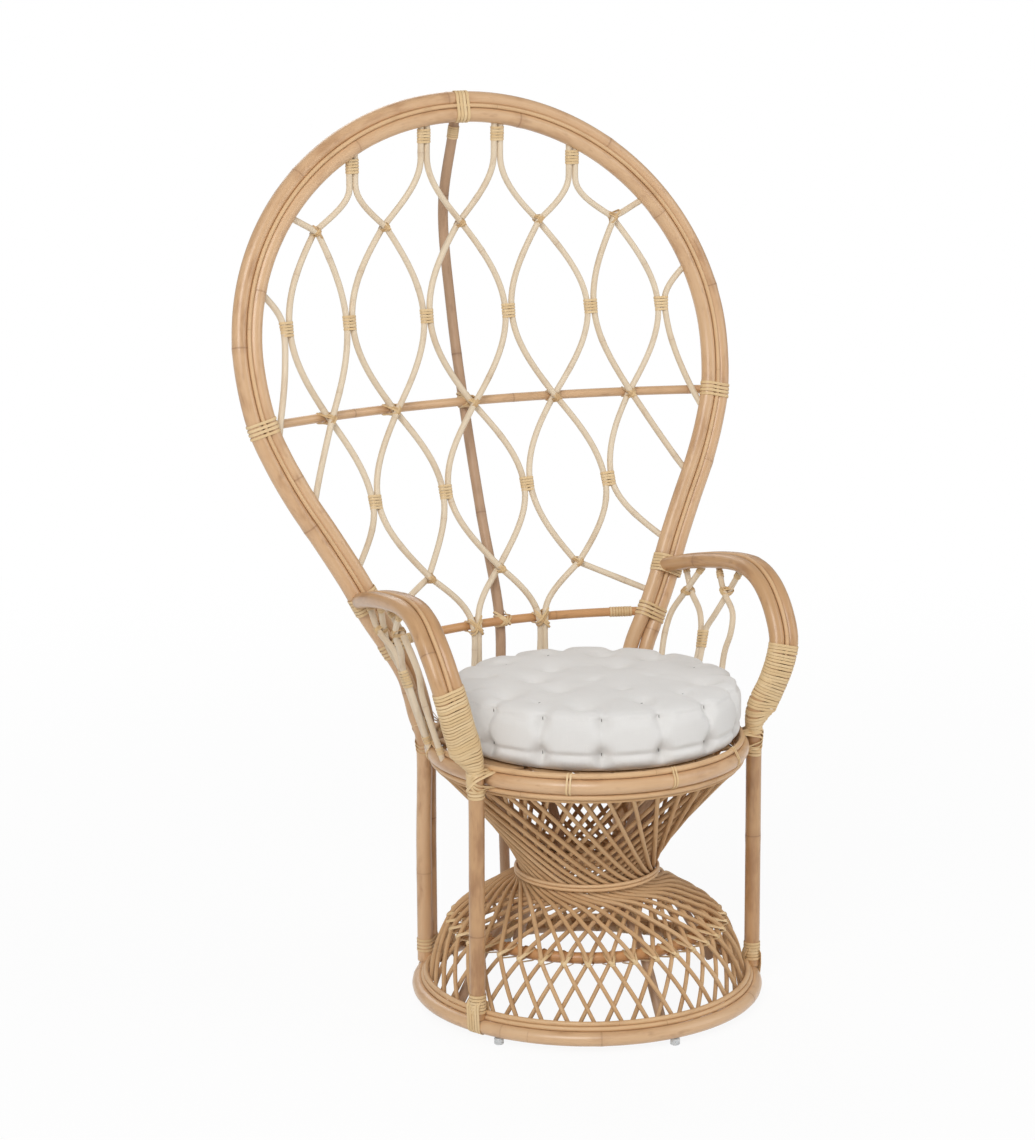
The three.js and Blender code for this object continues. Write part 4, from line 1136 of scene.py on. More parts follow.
@dataclass
class Hoop(Assembly):
    """The double pole of the back, which runs down as the rear legs, and its groove cane."""

    half_width: float = 0.4315
    top: float = 1.402
    widest: float = 1.014
    setback: float = 0.199
    lean: float = 14.3
    bar_height: float = 0.563
    groove: float = 0.0035
    lower_shares: Table = (
        (0, 0.555), (0.12, 0.628), (0.25, 0.695), (0.4, 0.782), (0.535, 0.864), (0.67, 0.931), (0.8, 0.978))
    knee_shares: Table = ((0.35, 0.5), (0.8, 0.86))

    def plane_y(self, height: float) -> float:
        """Returns how far behind the seat's centre the hoop stands at a height."""
        return self.setback + (height - self.bar_height) * math.tan(math.radians(self.lean))

    @property
    def facing(self) -> Vector:
        """The direction in front of the hoop's plane."""
        lean = math.radians(self.lean)
        return Vector((0, -math.cos(lean), math.sin(lean)))

    def outline(self) -> list[Point]:
        """Returns the right half of the middle line from the top centre to the lower bar."""
        rows = []
        for step in range(11):
            angle = math.pi / 2 * (1 - step / 10)
            rows.append((self.half_width * math.cos(angle),
                         self.widest + (self.top - self.widest) * math.sin(angle)))
        rise = self.widest - self.bar_height
        rows += [(self.half_width * out, self.bar_height + rise * up)
                 for up, out in reversed(self.lower_shares)]
        return [(x, self.plane_y(z), z) for x, z in rows]

    def half_width_at(self, height: float) -> float:
        """Returns the half width of the middle line at a height."""
        return read_table([(z, x) for x, _, z in reversed(self.outline())], height)

    def half(self) -> list[tuple[Vector, Vector]]:
        """Returns the right half's places with the direction in which the outer pole lies."""
        sizes = self.sizes
        outline = [Vector(place) for place in self.outline()]
        seat = around(sizes.leg_seat_radius, sizes.rear_leg, sizes.seat_height) - Vector((0, AXIS_Y, 0))
        foot = around(sizes.base_radius, sizes.rear_leg, sizes.leg_foot_height) - Vector((0, AXIS_Y, 0))
        side_way = math.radians(sizes.rear_leg - 90)
        leg_side = Vector((math.sin(side_way), -math.cos(side_way), 0))
        bar = outline[-1]
        knees = [Vector((bar.x + (seat.x - bar.x) * along, bar.y + (seat.y - bar.y) * along,
                         bar.z + (seat.z - bar.z) * down)) for down, along in self.knee_shares]
        places = [*outline, *knees, seat, seat.lerp(foot, 0.5), foot]
        rows = []
        for index, place in enumerate(places):
            if index >= len(outline) + len(knees):
                rows.append((place, leg_side))
                continue
            along = ACROSS if index == 0 else places[index + 1] - places[index - 1]
            side = self.facing.cross(along).normalized()
            if index >= len(outline):
                side = side.lerp(leg_side, 0.6).normalized()
            rows.append((place, side))
        return rows

    def line(self, offset: float, forward: float = 0.0, foot: bool = True, spacing: float = 0.012) -> Route:
        """Returns a line along the hoop.

        Args:
            offset: from the middle line towards the outer pole.
            forward: in front of the hoop's plane.
            foot: whether it runs on to the floor ring.
            spacing: between its points.

        Returns:
            The route from the left end over the top to the right end.
        """
        rows = self.half()
        count = len(rows) if foot else len(self.outline())
        right = [place + side * offset + self.facing * forward for place, side in rows[:count]]
        right = [chair_point(*place) for place in right]
        return smooth_route([*reversed(mirrored(right)), *right[1:]], spacing)

    def build(self) -> None:
        """Builds both poles and the cane in their groove."""
        sizes = self.sizes
        for label, side in (("outer", 1), ("inner", -1)):
            run = (self.line(side * sizes.pair), sizes.pole)
            self.sweep(f"hoop_pole_{label}", [run], Finish.POLE, Slot.POLE, [f"hoop_{label}_pole"],
                       roundness=5, swell=0.05)
        rise = math.sqrt((sizes.pole + self.groove) ** 2 - sizes.pair ** 2)
        run = (self.line(0.0, rise, foot=False), self.groove)
        self.sweep("hoop_groove_strip", [run], Finish.RIM, Slot.CANE, ["hoop_groove_cane"])


@dataclass
class Back(Assembly):
    """Lattice canes, cross bars and spine, bowed backwards behind the hoop's plane."""

    hoop: Hoop
    bow: float = 0.085
    pitch: float = 0.142
    upper_bar: float = 0.42
    spine: float = 0.0085
    bar_nestle: float = 0.94
    bar_slant: float = 1.06
    pair_slant: float = 1.04
    bow_shares: Table = (
        (0, 0.62), (0.1, 0.74), (0.256, 0.93), (0.42, 1), (0.6, 0.78), (0.77, 0.62), (0.93, 0.2), (1, 0))
    row_shares: dict[str, float] = field(default_factory=lambda: {
        "G": 0.0, "F": 0.103, "E": 0.256, "D": 0.42, "C": 0.596, "B": 0.773})
    spine_shares: Table = ((0.8, 1.7), (0.6, 1.6), (0.42, 1), (0.2, 0.95), (0, 1))
    routes: dict[str, Route] = field(default_factory=dict)

    @property
    def span(self) -> float:
        """Height from the lower bar to the hoop's top."""
        return self.hoop.top - self.hoop.bar_height

    @property
    def bar_depth(self) -> float:
        """How far behind the bowed surface the cross bars lie."""
        return (self.sizes.pole + self.sizes.bar) * self.bar_nestle

    @property
    def layers(self) -> dict[str, float]:
        """Depths of the rear, middle and front layer of lattice canes."""
        cane, gap = self.sizes.lattice_cane, self.sizes.fit_gap
        rear = self.bar_depth - (self.sizes.bar + cane + gap) * self.bar_slant
        front = rear - (2 * cane + gap)
        return {"rear": rear, "front": front, "middle": (rear + front) / 2}

    def height(self, share: float) -> float:
        """Returns the height at a share of the lattice's rise."""
        return self.hoop.bar_height + self.span * share

    def point(self, x: float, height: float, depth: float) -> Vector:
        """Returns a place behind the hoop's plane.

        Args:
            x: from the chair's centre plane.
            height: above the floor.
            depth: behind the bowed surface.

        Returns:
            The place.
        """
        half = self.hoop.half_width_at(height)
        bow = self.bow * read_table(self.bow_shares, (height - self.hoop.bar_height) / self.span)
        full = max(0.0, 1 - (x / half) ** 2)
        back = (bow * full + depth) / math.cos(math.radians(self.hoop.lean))
        return chair_point(x, self.hoop.plane_y(height) + back, height)

    def bar_route(self, height: float) -> Route:
        """Returns the route of a cross bar."""
        reach = self.hoop.half_width_at(height) + self.sizes.pole
        return [self.point(-reach + 2 * reach * step / 60, height, self.bar_depth) for step in range(61)]

    def spine_route(self) -> Route:
        """Returns the route of the spine from the hoop's top to the floor ring."""
        sizes, hoop = self.sizes, self.hoop
        behind = self.bar_depth + sizes.bar + sizes.fit_gap + self.spine
        top_depth = sizes.pole + sizes.fit_gap + self.spine
        places = [self.point(0, hoop.top + sizes.pole, top_depth),
                  self.point(0, hoop.top - sizes.pole * 2, top_depth)]
        places += [self.point(0, self.height(up), behind * back) for up, back in self.spine_shares]
        places.append(Vector((0, places[-1].y, sizes.seat_height)))
        places.append(around(sizes.base_radius, 180, sizes.leg_foot_height))
        return smooth_route(places, 0.015)

    @staticmethod
    def ease(upright_start: bool, upright_end: bool, share: float) -> float:
        """Returns how far across a cane is between a slanted crossing and an upright pair."""
        if upright_start and upright_end:
            return (1 - math.cos(math.pi * share)) / 2
        if upright_end:
            return math.sin(math.pi / 2 * share)
        return 1 - math.cos(math.pi / 2 * share) if upright_start else share

    def build(self) -> None:
        """Builds the bars, the spine and the lattice."""
        sizes = self.sizes
        for label, height, finish, slot in (("upper", self.height(self.upper_bar), Finish.POLE, Slot.POLE),
                                            ("lower", self.hoop.bar_height, Finish.BAR, Slot.BAR)):
            run = (self.bar_route(height), sizes.bar)
            self.sweep(f"back_bar_{label}", [run], finish, slot, [f"{label}_cross_bar"], roundness=4)
        run = (self.spine_route(), self.spine)
        self.sweep("spine", [run], Finish.SPINE, Slot.POLE, ["spine_pole"], roundness=4)
        for cane in LATTICE_CANES:
            own = self.layers[cane.layer]
            other = self.layers["rear"] if cane.name == "c6" else own
            for side, route in (("left", self.cane_route(cane, own)),
                                ("right", mirrored(self.cane_route(cane, other)))):
                self.routes[f"{side}_{cane.name}"] = route
                self.sweep(f"lattice_cane_{side}_{cane.name}", [(route, sizes.lattice_cane)],
                           Finish.CANE, Slot.CANE, [f"lattice_{side}_{cane.name}"], swell=0.06)

    def stops(self, cane: "LatticeCane", layer: float) -> list[tuple[float, float, float, bool]]:
        """Returns a lattice cane's (x, height, depth, upright) stops from the top down."""
        sizes, hoop = self.sizes, self.hoop
        middle = self.layers["middle"]
        step = (sizes.lattice_cane + sizes.fit_gap / 2) * self.pair_slant
        rows = []

        def hoop_end(share: float) -> tuple[float, float, float, bool]:
            """Returns the stop where a cane meets the hoop's inner pole."""
            height = self.height(share)
            return -(hoop.half_width_at(height) - sizes.pair), height, middle, False

        if cane.top is not None:
            rows.append(hoop_end(cane.top))
        else:
            column, side = cane.pair_top
            x = column * self.pitch * 0.96 + side * step
            rise = math.sqrt(1 - (x / hoop.half_width) ** 2)
            arch = hoop.widest + (hoop.top - hoop.widest) * rise
            rows += [(x, arch - sizes.pair, middle, True), (x, arch - sizes.pole * 6, middle, True)]
        for row, column, side in cane.stops:
            depth = layer if side == 0 else (self.layers["rear"] if row == "G" else middle)
            height = self.height(self.row_shares[row])
            rows.append((column * self.pitch + side * step, height, depth, side != 0))
        if cane.foot is not None:
            rows.append(hoop_end(cane.foot))
        return rows

    def cane_route(self, cane: "LatticeCane", layer: float) -> Route:
        """Returns the route of a lattice cane of the left half, its crossings in a layer."""
        stops = self.stops(cane, layer)
        route = [self.point(*stops[0][:3])]
        for start, end in zip(stops, stops[1:]):
            steps = max(2, round(abs(end[1] - start[1]) / 0.008))
            for step in range(1, steps + 1):
                share = step / steps
                x = start[0] + (end[0] - start[0]) * self.ease(start[3], end[3], share)
                height = start[1] + (end[1] - start[1]) * share
                depth = start[2] + (end[2] - start[2]) * (1 - math.cos(math.pi * share)) / 2
                route.append(self.point(x, height, depth))
        if cane.seat:
            sizes = self.sizes
            last = route[-1]
            landing = sizes.seat_radius + sizes.seat_pole * 0.84
            y = math.sqrt(landing ** 2 - last.x ** 2)
            down = [last, chair_point(last.x, y + sizes.lattice_cane, sizes.seat_height + 0.062),
                    chair_point(last.x, y, sizes.seat_height + 0.0048)]
            lead = route[-6]
            settled = max(1, round((last - lead).length / 0.008)) + 1
            route += smooth_route([lead, *down], 0.008)[settled:]
        return route


@dataclass(frozen=True)
class LatticeCane:
    """A lattice cane of the left half: its row and column stops, with ends on the hoop or seat."""

    name: str
    layer: str
    stops: tuple[tuple[str, float, int], ...]
    top: float | None = None
    pair_top: tuple[float, int] | None = None
    foot: float | None = None
    seat: bool = False


LATTICE_CANES = (
    LatticeCane("c1", "front", (("C", -2.46, -1),), top=0.675, foot=0.385),
    LatticeCane("c2", "front", (("B", -1.95, 0), ("C", -1.59, -1), ("D", -1.98, 0)), top=0.81, foot=0.264),
    LatticeCane("c3", "rear", (("B", -1.95, 0), ("C", -2.46, 1), ("D", -1.98, 0), ("E", -1.54, -1)),
                pair_top=(-1.5, -1), foot=0.139),
    LatticeCane("c4", "front", (("B", -1.01, 0), ("C", -0.54, -1), ("D", -1.055, 0), ("E", -1.54, 1),
                                ("F", -0.975, 0), ("G", -0.44, -1)), pair_top=(-1.5, 1), seat=True),
    LatticeCane("c5", "rear", (("B", -1.01, 0), ("C", -1.59, 1), ("D", -1.055, 0), ("E", -0.54, -1),
                               ("F", -0.975, 0)), pair_top=(-0.5, -1), foot=0.042),
    LatticeCane("c6", "front", (("B", 0, 0), ("C", 0.54, -1), ("D", 0, 0), ("E", -0.54, 1), ("F", 0, 0),
                                ("G", 0.44, -1)), pair_top=(-0.5, 1), seat=True),
)


@dataclass
class Arms(Assembly):
    """Two curved arms, each a double pole with a groove cane and four thin canes under it."""

    hoop: Hoop
    spread: float = 0.309
    height: float = 0.674
    front: float = 0.120
    right_tuck: float = 0.012
    wrap_top: float = 0.565
    wrap_foot: float = 0.424
    wrap_strip: float = 0.0050
    cane: float = 0.005
    groove: float = 0.0035
    back_crossing: Point = (0.191, 0.924, 0.733)
    front_crossing: Point = (0.466, 0.974, 0.791)
    low_pair: Point = (0.372, 0.888, 0.469)
    middle_shares: tuple[Point, ...] = (
        (0.02, 0.917, 0.868), (0.15, 0.95, 0.914), (0.32, 0.982, 0.96), (0.5, 1.002, 0.99),
        (0.62, 1.008, 0.995), (0.715, 1.012, 0.975), (0.8, 1.016, 0.925), (0.868, 1.018, 0.85),
        (0.925, 1.014, 0.76), (0.97, 1.006, 0.66), (0.99, 0.996, 0.59), (0.995, 0.97, 0.48),
        (0.985, 0.94, 0.37), (0.96, 0.885, 0.2))

    def sides(self) -> list[tuple[str, Callable, float]]:
        """Returns each side's name, the way from the right side's points and the tuck of its front."""
        return [("left", mirrored, 0.0), ("right", list, self.right_tuck)]

    def place(self, shares: Point, tuck: float) -> Vector:
        """Returns a place from shares: forward, across and up from the seat ring to the arm."""
        forward, across, up = shares
        seat = self.sizes.seat_height
        back_height = seat + (self.height - seat) * self.middle_shares[0][2]
        back = self.hoop.plane_y(back_height)
        eased = max(0.0, min(1.0, (forward - 0.45) / 0.5))
        x = self.spread * across - tuck * eased * eased * (3 - 2 * eased)
        return chair_point(x, back + (-self.front - back) * forward, seat + (self.height - seat) * up)

    def leg(self) -> Route:
        """Returns the right front leg's line from the seat ring to the floor ring."""
        sizes = self.sizes
        seat = around(sizes.leg_seat_radius, sizes.front_leg, sizes.seat_height)
        foot = around(sizes.base_radius, sizes.front_leg, sizes.leg_foot_height)
        return [seat, seat.lerp(foot, 0.5), foot]

    def lines(self, tuck: float) -> dict[str, Route]:
        """Returns an arm's inner pole, outer pole and groove cane lines, on the right side."""
        pair = Vector((self.sizes.pair, 0, 0))
        middle = [self.place(shares, tuck) for shares in self.middle_shares]
        behind = middle[0] + Vector((-0.002, 0.008, -0.002))
        inner = smooth_route([behind - pair, *(p - pair for p in middle), *self.leg()], 0.012)
        outer = smooth_route([behind + pair, *(p + pair for p in middle)], 0.012)
        rise = math.sqrt((self.sizes.pole + self.groove) ** 2 - self.sizes.pair ** 2)
        kept = [place for place in middle if place.z > self.wrap_top - 0.03]
        kept[0] = kept[0].lerp(kept[1], 2 * self.sizes.pole / (kept[1] - kept[0]).length)
        raised = []
        for place, along in zip(kept, tangents(kept)):
            out = along.cross(ACROSS).normalized()
            raised.append(place + out * rise)
        return {"inner": inner, "outer": outer, "groove": smooth_route(raised, 0.012)}

    def canes(self, tuck: float) -> dict[str, Route]:
        """Returns the routes of the four thin canes of an arm, on the right side."""
        plans = {
            "c1": (1, 1, 109, [(0.098, 0.957, 0.94), self.back_crossing, (0.314, 0.914, 0.62),
                               self.low_pair]),
            "c2": (-1, 0, 122, [(0.288, 0.983, 0.96), self.back_crossing, (0.14, 0.855, 0.597),
                                (0.15, 0.812, 0.496), (0.17, 0.779, 0.399)]),
            "c3": (-1, 0, 92, [(0.358, 0.993, 0.96), self.front_crossing, (0.556, 0.954, 0.678),
                               (0.583, 0.927, 0.558), (0.562, 0.901, 0.426)]),
            "c4": (1, -1, 109, [(0.577, 1.007, 0.98), self.front_crossing, (0.424, 0.937, 0.643),
                                (0.38, 0.905, 0.53), self.low_pair]),
        }
        step = (self.cane + 0.0001) * 1.04
        landing = self.sizes.seat_radius + self.sizes.seat_pole / 2
        routes = {}
        for name, (crossing, beside, foot, shares) in plans.items():
            places = [self.place(row, tuck) for row in shares]
            places[1].x += crossing * step
            places[-1].y += beside * step
            along = around(1, foot + 90, 0) - around(0, 0, 0)
            places.append(around(landing, foot, self.sizes.seat_height + 0.006) + along * beside * step)
            routes[name] = smooth_route(places, 0.008)
        return routes

    def build(self) -> None:
        """Builds both arms and their long wraps."""
        sizes = self.sizes
        for side, hand, tuck in self.sides():
            lines = {name: hand(line) for name, line in self.lines(tuck).items()}
            for name in ("inner", "outer"):
                self.sweep(f"arm_pole_{name}_{side}", [(lines[name], sizes.pole)], Finish.ARM,
                           Slot.POLE, [f"arm_pole_{side}_{name}"], roundness=5, swell=0.05)
            self.sweep(f"arm_groove_strip_{side}", [(lines["groove"], self.groove)], Finish.RIM,
                       Slot.CANE, [f"arm_groove_cane_{side}"])
            for name, route in self.canes(tuck).items():
                self.sweep(f"arm_cane_{side}_{name}", [(hand(route), self.cane)], Finish.CANE,
                           Slot.CANE, [f"arm_{side}_{name}"], swell=0.06)
            self._wrap(side, lines)

    def _wrap(self, side: str, lines: dict[str, Route]) -> None:
        """Winds the long wrap of one arm round both poles, narrowing to the leg where the outer one ends."""
        binding = Binding(f"arm_long_wrap_{side}", self.rng, loop_steps=30)
        pole = self.sizes.pole
        height = self.wrap_top
        last = lines["outer"][-1]
        while height > self.wrap_foot:
            near = rod_at(lines["inner"], height, pole)
            rods = [near]
            beside = rod_at(lines["outer"], height, pole)
            if beside:
                rods.append(beside)
            else:
                kept = max(0.0, 1 - (last.z - height) / 0.042)
                gap = last - rod_at(lines["inner"], last.z, pole).place
                rods.append(Rod(near.place + gap * kept, near.way, pole * (0.45 + 0.55 * kept)))
            binding.bind(rods, near.way, 1, self.wrap_strip, tilt=0.35, thickness=0.0016)
            height -= self.wrap_strip * abs(near.way.z)
        self.tie(binding, [f"arm_wrap_{side}"])


@dataclass
class Lashings(Assembly):
    """All short bindings: feet, seat ties, bar ends, hoop top, lattice and arm joints, inner knots.

    A strip is its width, a wrap its height and a gap the distance of a binding from its joint.
    """

    base: Base
    hourglass: Hourglass
    hoop: Hoop
    back: Back
    arms: Arms
    seat_ties: tuple[float, ...] = (-143, -107, -71, -36, 2, 37, 73, 109, 145)
    hoop_strip: float = 0.0062
    wide_strip: float = 0.0052
    ring_strip: float = 0.005
    leg_strip: float = 0.0048
    pair_strip: float = 0.0047
    cane_strip: float = 0.0046
    bar_strip: float = 0.0045
    pole_strip: float = 0.0042
    thin_strip: float = 0.004
    knot_strip: float = 0.0036
    fine_strip: float = 0.0034
    front_wrap: float = 0.058
    rear_wrap: float = 0.060
    spine_wrap: float = 0.052
    seat_gap: float = 0.020
    hoop_gap: float = 0.042
    bar_gap: float = 0.022
    top_gap: float = 0.027
    touching: float = 0.02
    knot_tone: float = -1.3
    dark_knot_tone: float = -1.6

    def build(self) -> None:
        """Builds the bindings in groups, one piece a group."""
        for name, fill, steps, section in (
                ("leg_foot_bindings", self._feet, 24, 6), ("seat_ring_ties", self._seat, 20, 6),
                ("hoop_and_bar_bindings", self._hoop_joints, 30, 6),
                ("lattice_bindings", self._lattice, 20, 6), ("arm_bindings", self._arm_joints, 26, 6),
                ("inner_ring_knots", self._knots, 12, 4)):
            binding = Binding(name, self.rng, loop_steps=steps, section_steps=section)
            fill(binding)
            self.tie(binding)

    def _ring(self, radius: float, azimuth: float, height: float, thick: float) -> Rod:
        """Returns the rod of a ring at an azimuth."""
        way = (around(1, azimuth + 90, 0) - around(0, 0, 0)).normalized()
        return Rod(around(radius, azimuth, height), way, thick)

    def _base_rods(self, azimuth: float) -> list[Rod]:
        """Returns the floor ring and its trims at an azimuth."""
        sizes = self.sizes
        rods = [self._ring(sizes.base_radius, azimuth, sizes.base_height, sizes.base_pole)]
        return rods + [self._ring(radius, azimuth, height, sizes.base_trim)
                       for radius, height in self.base.trims()]

    def _seat_ring(self, azimuth: float) -> Rod:
        """Returns the seat ring's rod at an azimuth."""
        sizes = self.sizes
        return self._ring(sizes.seat_radius, azimuth, sizes.seat_height, sizes.seat_pole)

    def _poles(self) -> list[Route]:
        """Returns the routes of the hoop's outer and inner pole."""
        return [self.hoop.line(side * self.sizes.pair) for side in (1, -1)]

    def _pole_rods(self, side: int, height: float) -> list[Rod]:
        """Returns the rods of the hoop's outer and inner pole on one side of the chair at a height."""
        return [rod_at([place for place in line if place.x * side > 0][::side], height, self.sizes.pole)
                for line in self._poles()]

    def _feet(self, binding: Binding) -> None:
        """Wraps each leg above the floor ring and ties its foot to the ring and the trims."""
        sizes = self.sizes
        leg = self.arms.leg()[::-1]
        for side, hand in ((-1, mirrored), (1, list)):
            line = hand(smooth_route(leg, 0.012))
            rod = rod_at(line, self.front_wrap, sizes.pole)
            binding.bind([rod], rod.way, 6, self.leg_strip)
            self._foot_strips(binding, side * sizes.front_leg, [rod_near(line, line[0], sizes.pole)], 5)
            poles = self._pole_rods(side, self.rear_wrap)
            binding.bind(poles, poles[0 if side < 0 else -1].way, 4, self.pole_strip, pitch=1.35)
            self._foot_strips(binding, side * sizes.rear_leg, [], 6)
        spine = self.back.spine_route()
        rod = rod_at(spine, self.spine_wrap, self.back.spine)
        binding.bind([rod], rod.way, 4, self.pole_strip)
        self._foot_strips(binding, 180, [], 3)

    def _foot_strips(self, binding: Binding, azimuth: float, extra: list[Rod], count: int) -> None:
        """Adds strips that run over the floor ring and its trims at a leg."""
        rods = self._base_rods(azimuth)
        binding.bind(rods + extra, rods[0].way, count, self.wide_strip, pitch=1.0, tilt=0.3)

    def _seat(self, binding: Binding) -> None:
        """Ties the seat's upper trim to the ring and the ring to the legs, and wraps the lattice canes just
        above the ring.
        """
        sizes = self.sizes
        trim_height = sizes.seat_height + sizes.seat_trim_step
        for azimuth in self.seat_ties:
            ring = self._seat_ring(azimuth)
            trim = self._ring(sizes.seat_radius, azimuth, trim_height, sizes.seat_trim)
            binding.bind([ring, trim], ring.way, 2, self.fine_strip, pitch=1.5, tilt=0.8)
        leg = self.arms.lines(0.0)["inner"]
        for side, hand in ((-1, mirrored), (1, list)):
            ring = self._seat_ring(side * sizes.front_leg)
            rod = rod_at(hand(leg), sizes.seat_height, sizes.pole)
            binding.lash([rod, ring], UP, ring.way, 3, self.ring_strip)
            under = rod_at(hand(leg), sizes.seat_height - self.seat_gap, sizes.pole)
            binding.bind([under], rod.way, 3, self.leg_strip)
            ring = self._seat_ring(side * sizes.rear_leg)
            poles = self._pole_rods(side, sizes.seat_height)
            binding.lash([*poles, ring], UP, ring.way, 3, self.ring_strip)
        for column in (-0.44, 0.44):
            for cane in self._lattice_rods(sizes.seat_height + self.seat_gap):
                if abs(cane.place.x - column * self.back.pitch) < self.touching:
                    binding.bind([cane], cane.way, 3, self.thin_strip)

    def _hoop_joints(self, binding: Binding) -> None:
        """Wraps the hoop's top, the bars' ends and their crossings with the spine."""
        sizes, back, hoop = self.sizes, self.back, self.hoop
        spine = back.spine_route()
        top = chair_point(0, hoop.plane_y(hoop.top), hoop.top)
        rods = [*(rod_near(line, top, sizes.pole) for line in self._poles()),
                rod_at(spine, hoop.top, back.spine)]
        binding.bind(rods, ACROSS, 4, self.hoop_strip, pitch=1.02, tilt=0.5, thickness=0.0016)
        rod = rod_at(spine, hoop.top - self.hoop_gap, back.spine)
        binding.bind([rod], rod.way, 6, self.fine_strip)
        for height, inner_turns in ((back.height(back.upper_bar), 0), (hoop.bar_height, 8)):
            route = back.bar_route(height)
            middle = rod_near(route, route[len(route) // 2], sizes.bar)
            behind = rod_at(spine, height, back.spine)
            binding.lash([middle, behind], UP, ACROSS, 2, self.pole_strip)
            for side in (-1, 1):
                poles = self._pole_rods(side, height)
                bar = rod_near(route, (poles[0].place + poles[1].place) / 2, sizes.bar)
                bar = Rod(bar.place, poles[0].way, sizes.bar)
                binding.bind([*poles, bar], poles[0].way, 4, self.wide_strip, pitch=1.25, tilt=0.4,
                             thickness=0.0015)
                if inner_turns:
                    start = poles[1].place - Vector((side * (sizes.pole + self.bar_gap), 0, 0))
                    end = rod_near(route, start, sizes.bar)
                    binding.bind([end], end.way, inner_turns, self.bar_strip)

    def _lattice_rods(self, height: float) -> list[Rod]:
        """Returns the lattice canes that pass a height, from left to right."""
        rods = [rod_at(route, height, self.sizes.lattice_cane) for route in self.back.routes.values()]
        return sorted((rod for rod in rods if rod), key=lambda rod: rod.place.x)

    def _lattice(self, binding: Binding) -> None:
        """Wraps the lattice's touching pairs and ties its crossings, some of them to the bars."""
        back, sizes = self.back, self.sizes
        bars = {"D": back.bar_route(back.height(back.upper_bar)), "G": back.bar_route(self.hoop.bar_height)}
        for row, share in back.row_shares.items():
            rods = self._lattice_rods(back.height(share) + (0.0005 if row == "G" else 0.0))
            for first, second in zip(rods, rods[1:]):
                if (second.place - first.place).length > self.touching:
                    continue
                if row in bars:
                    bar = rod_near(bars[row], first.place, sizes.bar)
                    binding.lash([first, second, bar], UP, bar.way, 2, self.thin_strip,
                                 tone=self.knot_tone)
                elif row in "CE":
                    binding.bind([first, second], first.way + second.way, 5, self.pair_strip)
                else:
                    binding.lash([first, second], UP, ACROSS, 2, self.knot_strip,
                                 tone=self.dark_knot_tone)
        tops = sorted(back.routes.values(), key=lambda route: route[0].x)
        for first, second in zip(tops, tops[1:]):
            if (second[0] - first[0]).length < self.touching:
                height = min(first[0].z, second[0].z) - self.top_gap
                pair = [rod_at(route, height, sizes.lattice_cane) for route in (first, second)]
                binding.bind(pair, pair[0].way, 5, self.cane_strip)

    def _arm_joints(self, binding: Binding) -> None:
        """Wraps the arms' joints with the hoop and ties their thin canes."""
        sizes, arms = self.sizes, self.arms
        for side, hand, tuck in arms.sides():
            lines = {name: hand(line) for name, line in arms.lines(tuck).items()}
            start = [rod_near(lines[name], lines[name][1], sizes.pole) for name in ("inner", "outer")]
            middle = (start[0].place + start[1].place) / 2
            poles = [rod_near(line, middle, sizes.pole) for line in self._poles()]
            ends = [Rod(rod.place, poles[0].way, sizes.pole) for rod in start]
            binding.bind([*poles, *ends], poles[0].way, 6, self.wide_strip, pitch=0.98, tilt=0.5,
                         thickness=0.0016)
            canes = {name: hand(route) for name, route in arms.canes(tuck).items()}
            for names, shares in ((("c1", "c2"), arms.back_crossing), (("c3", "c4"), arms.front_crossing)):
                place = hand([arms.place(shares, tuck)])[0]
                first, second = (rod_near(canes[name], place, arms.cane) for name in names)
                upright = first.way + second.way * math.copysign(1, first.way.dot(second.way))
                gap = second.place - first.place
                turned = upright.cross(gap) if gap.length > 1e-5 else upright.orthogonal()
                binding.lash([first, second], upright, turned, 2, self.knot_strip, tone=self.knot_tone)
            foot = hand([arms.place(arms.low_pair, tuck)])[0]
            pair = [rod_near(canes[name], foot, arms.cane) for name in ("c1", "c4")]
            binding.bind(pair, pair[0].way, 6, self.cane_strip)
            for route in canes.values():
                for place in (route[3], route[-3]):
                    end = rod_near(route, place, arms.cane)
                    binding.bind([end], end.way, 3, self.thin_strip)

    def _knots(self, binding: Binding) -> None:
        """Ties the weave's crossings to the inner ring with an X of strips each."""
        glass = self.hourglass
        routes = [glass.cane(inset, hand, 0) for inset, hand in ((0.0, 1), (glass.layer_inset, -1))]
        height = glass.ring_height
        for index in range(glass.count):
            azimuth = glass.knot_azimuth + 360 * index / glass.count
            turn = Matrix.Rotation(math.radians(azimuth - glass.knot_azimuth), 3, "Z")
            ring = self._ring(glass.ring_radius(), azimuth, height, glass.ring)
            rods = [ring]
            for route in routes:
                rod = rod_at(route, height, self.sizes.weave_cane)
                axis = chair_point(0, 0, 0)
                rods.append(Rod(axis + turn @ (rod.place - axis), turn @ rod.way, rod.radius))
            binding.lash(rods, UP, ring.way, 1, self.wide_strip)


def rise(values: Rows, start: float, width: float) -> Rows:
    """Returns 0 up to a start and 1 from a width past it, straight between."""
    return np.clip((values - start) / width, 0, 1)


def bell(distance: Rows, reach: float) -> Rows:
    """Returns 1 at no distance, falling in a bell's shape over a reach."""
    return np.exp(-(distance / reach) ** 2)


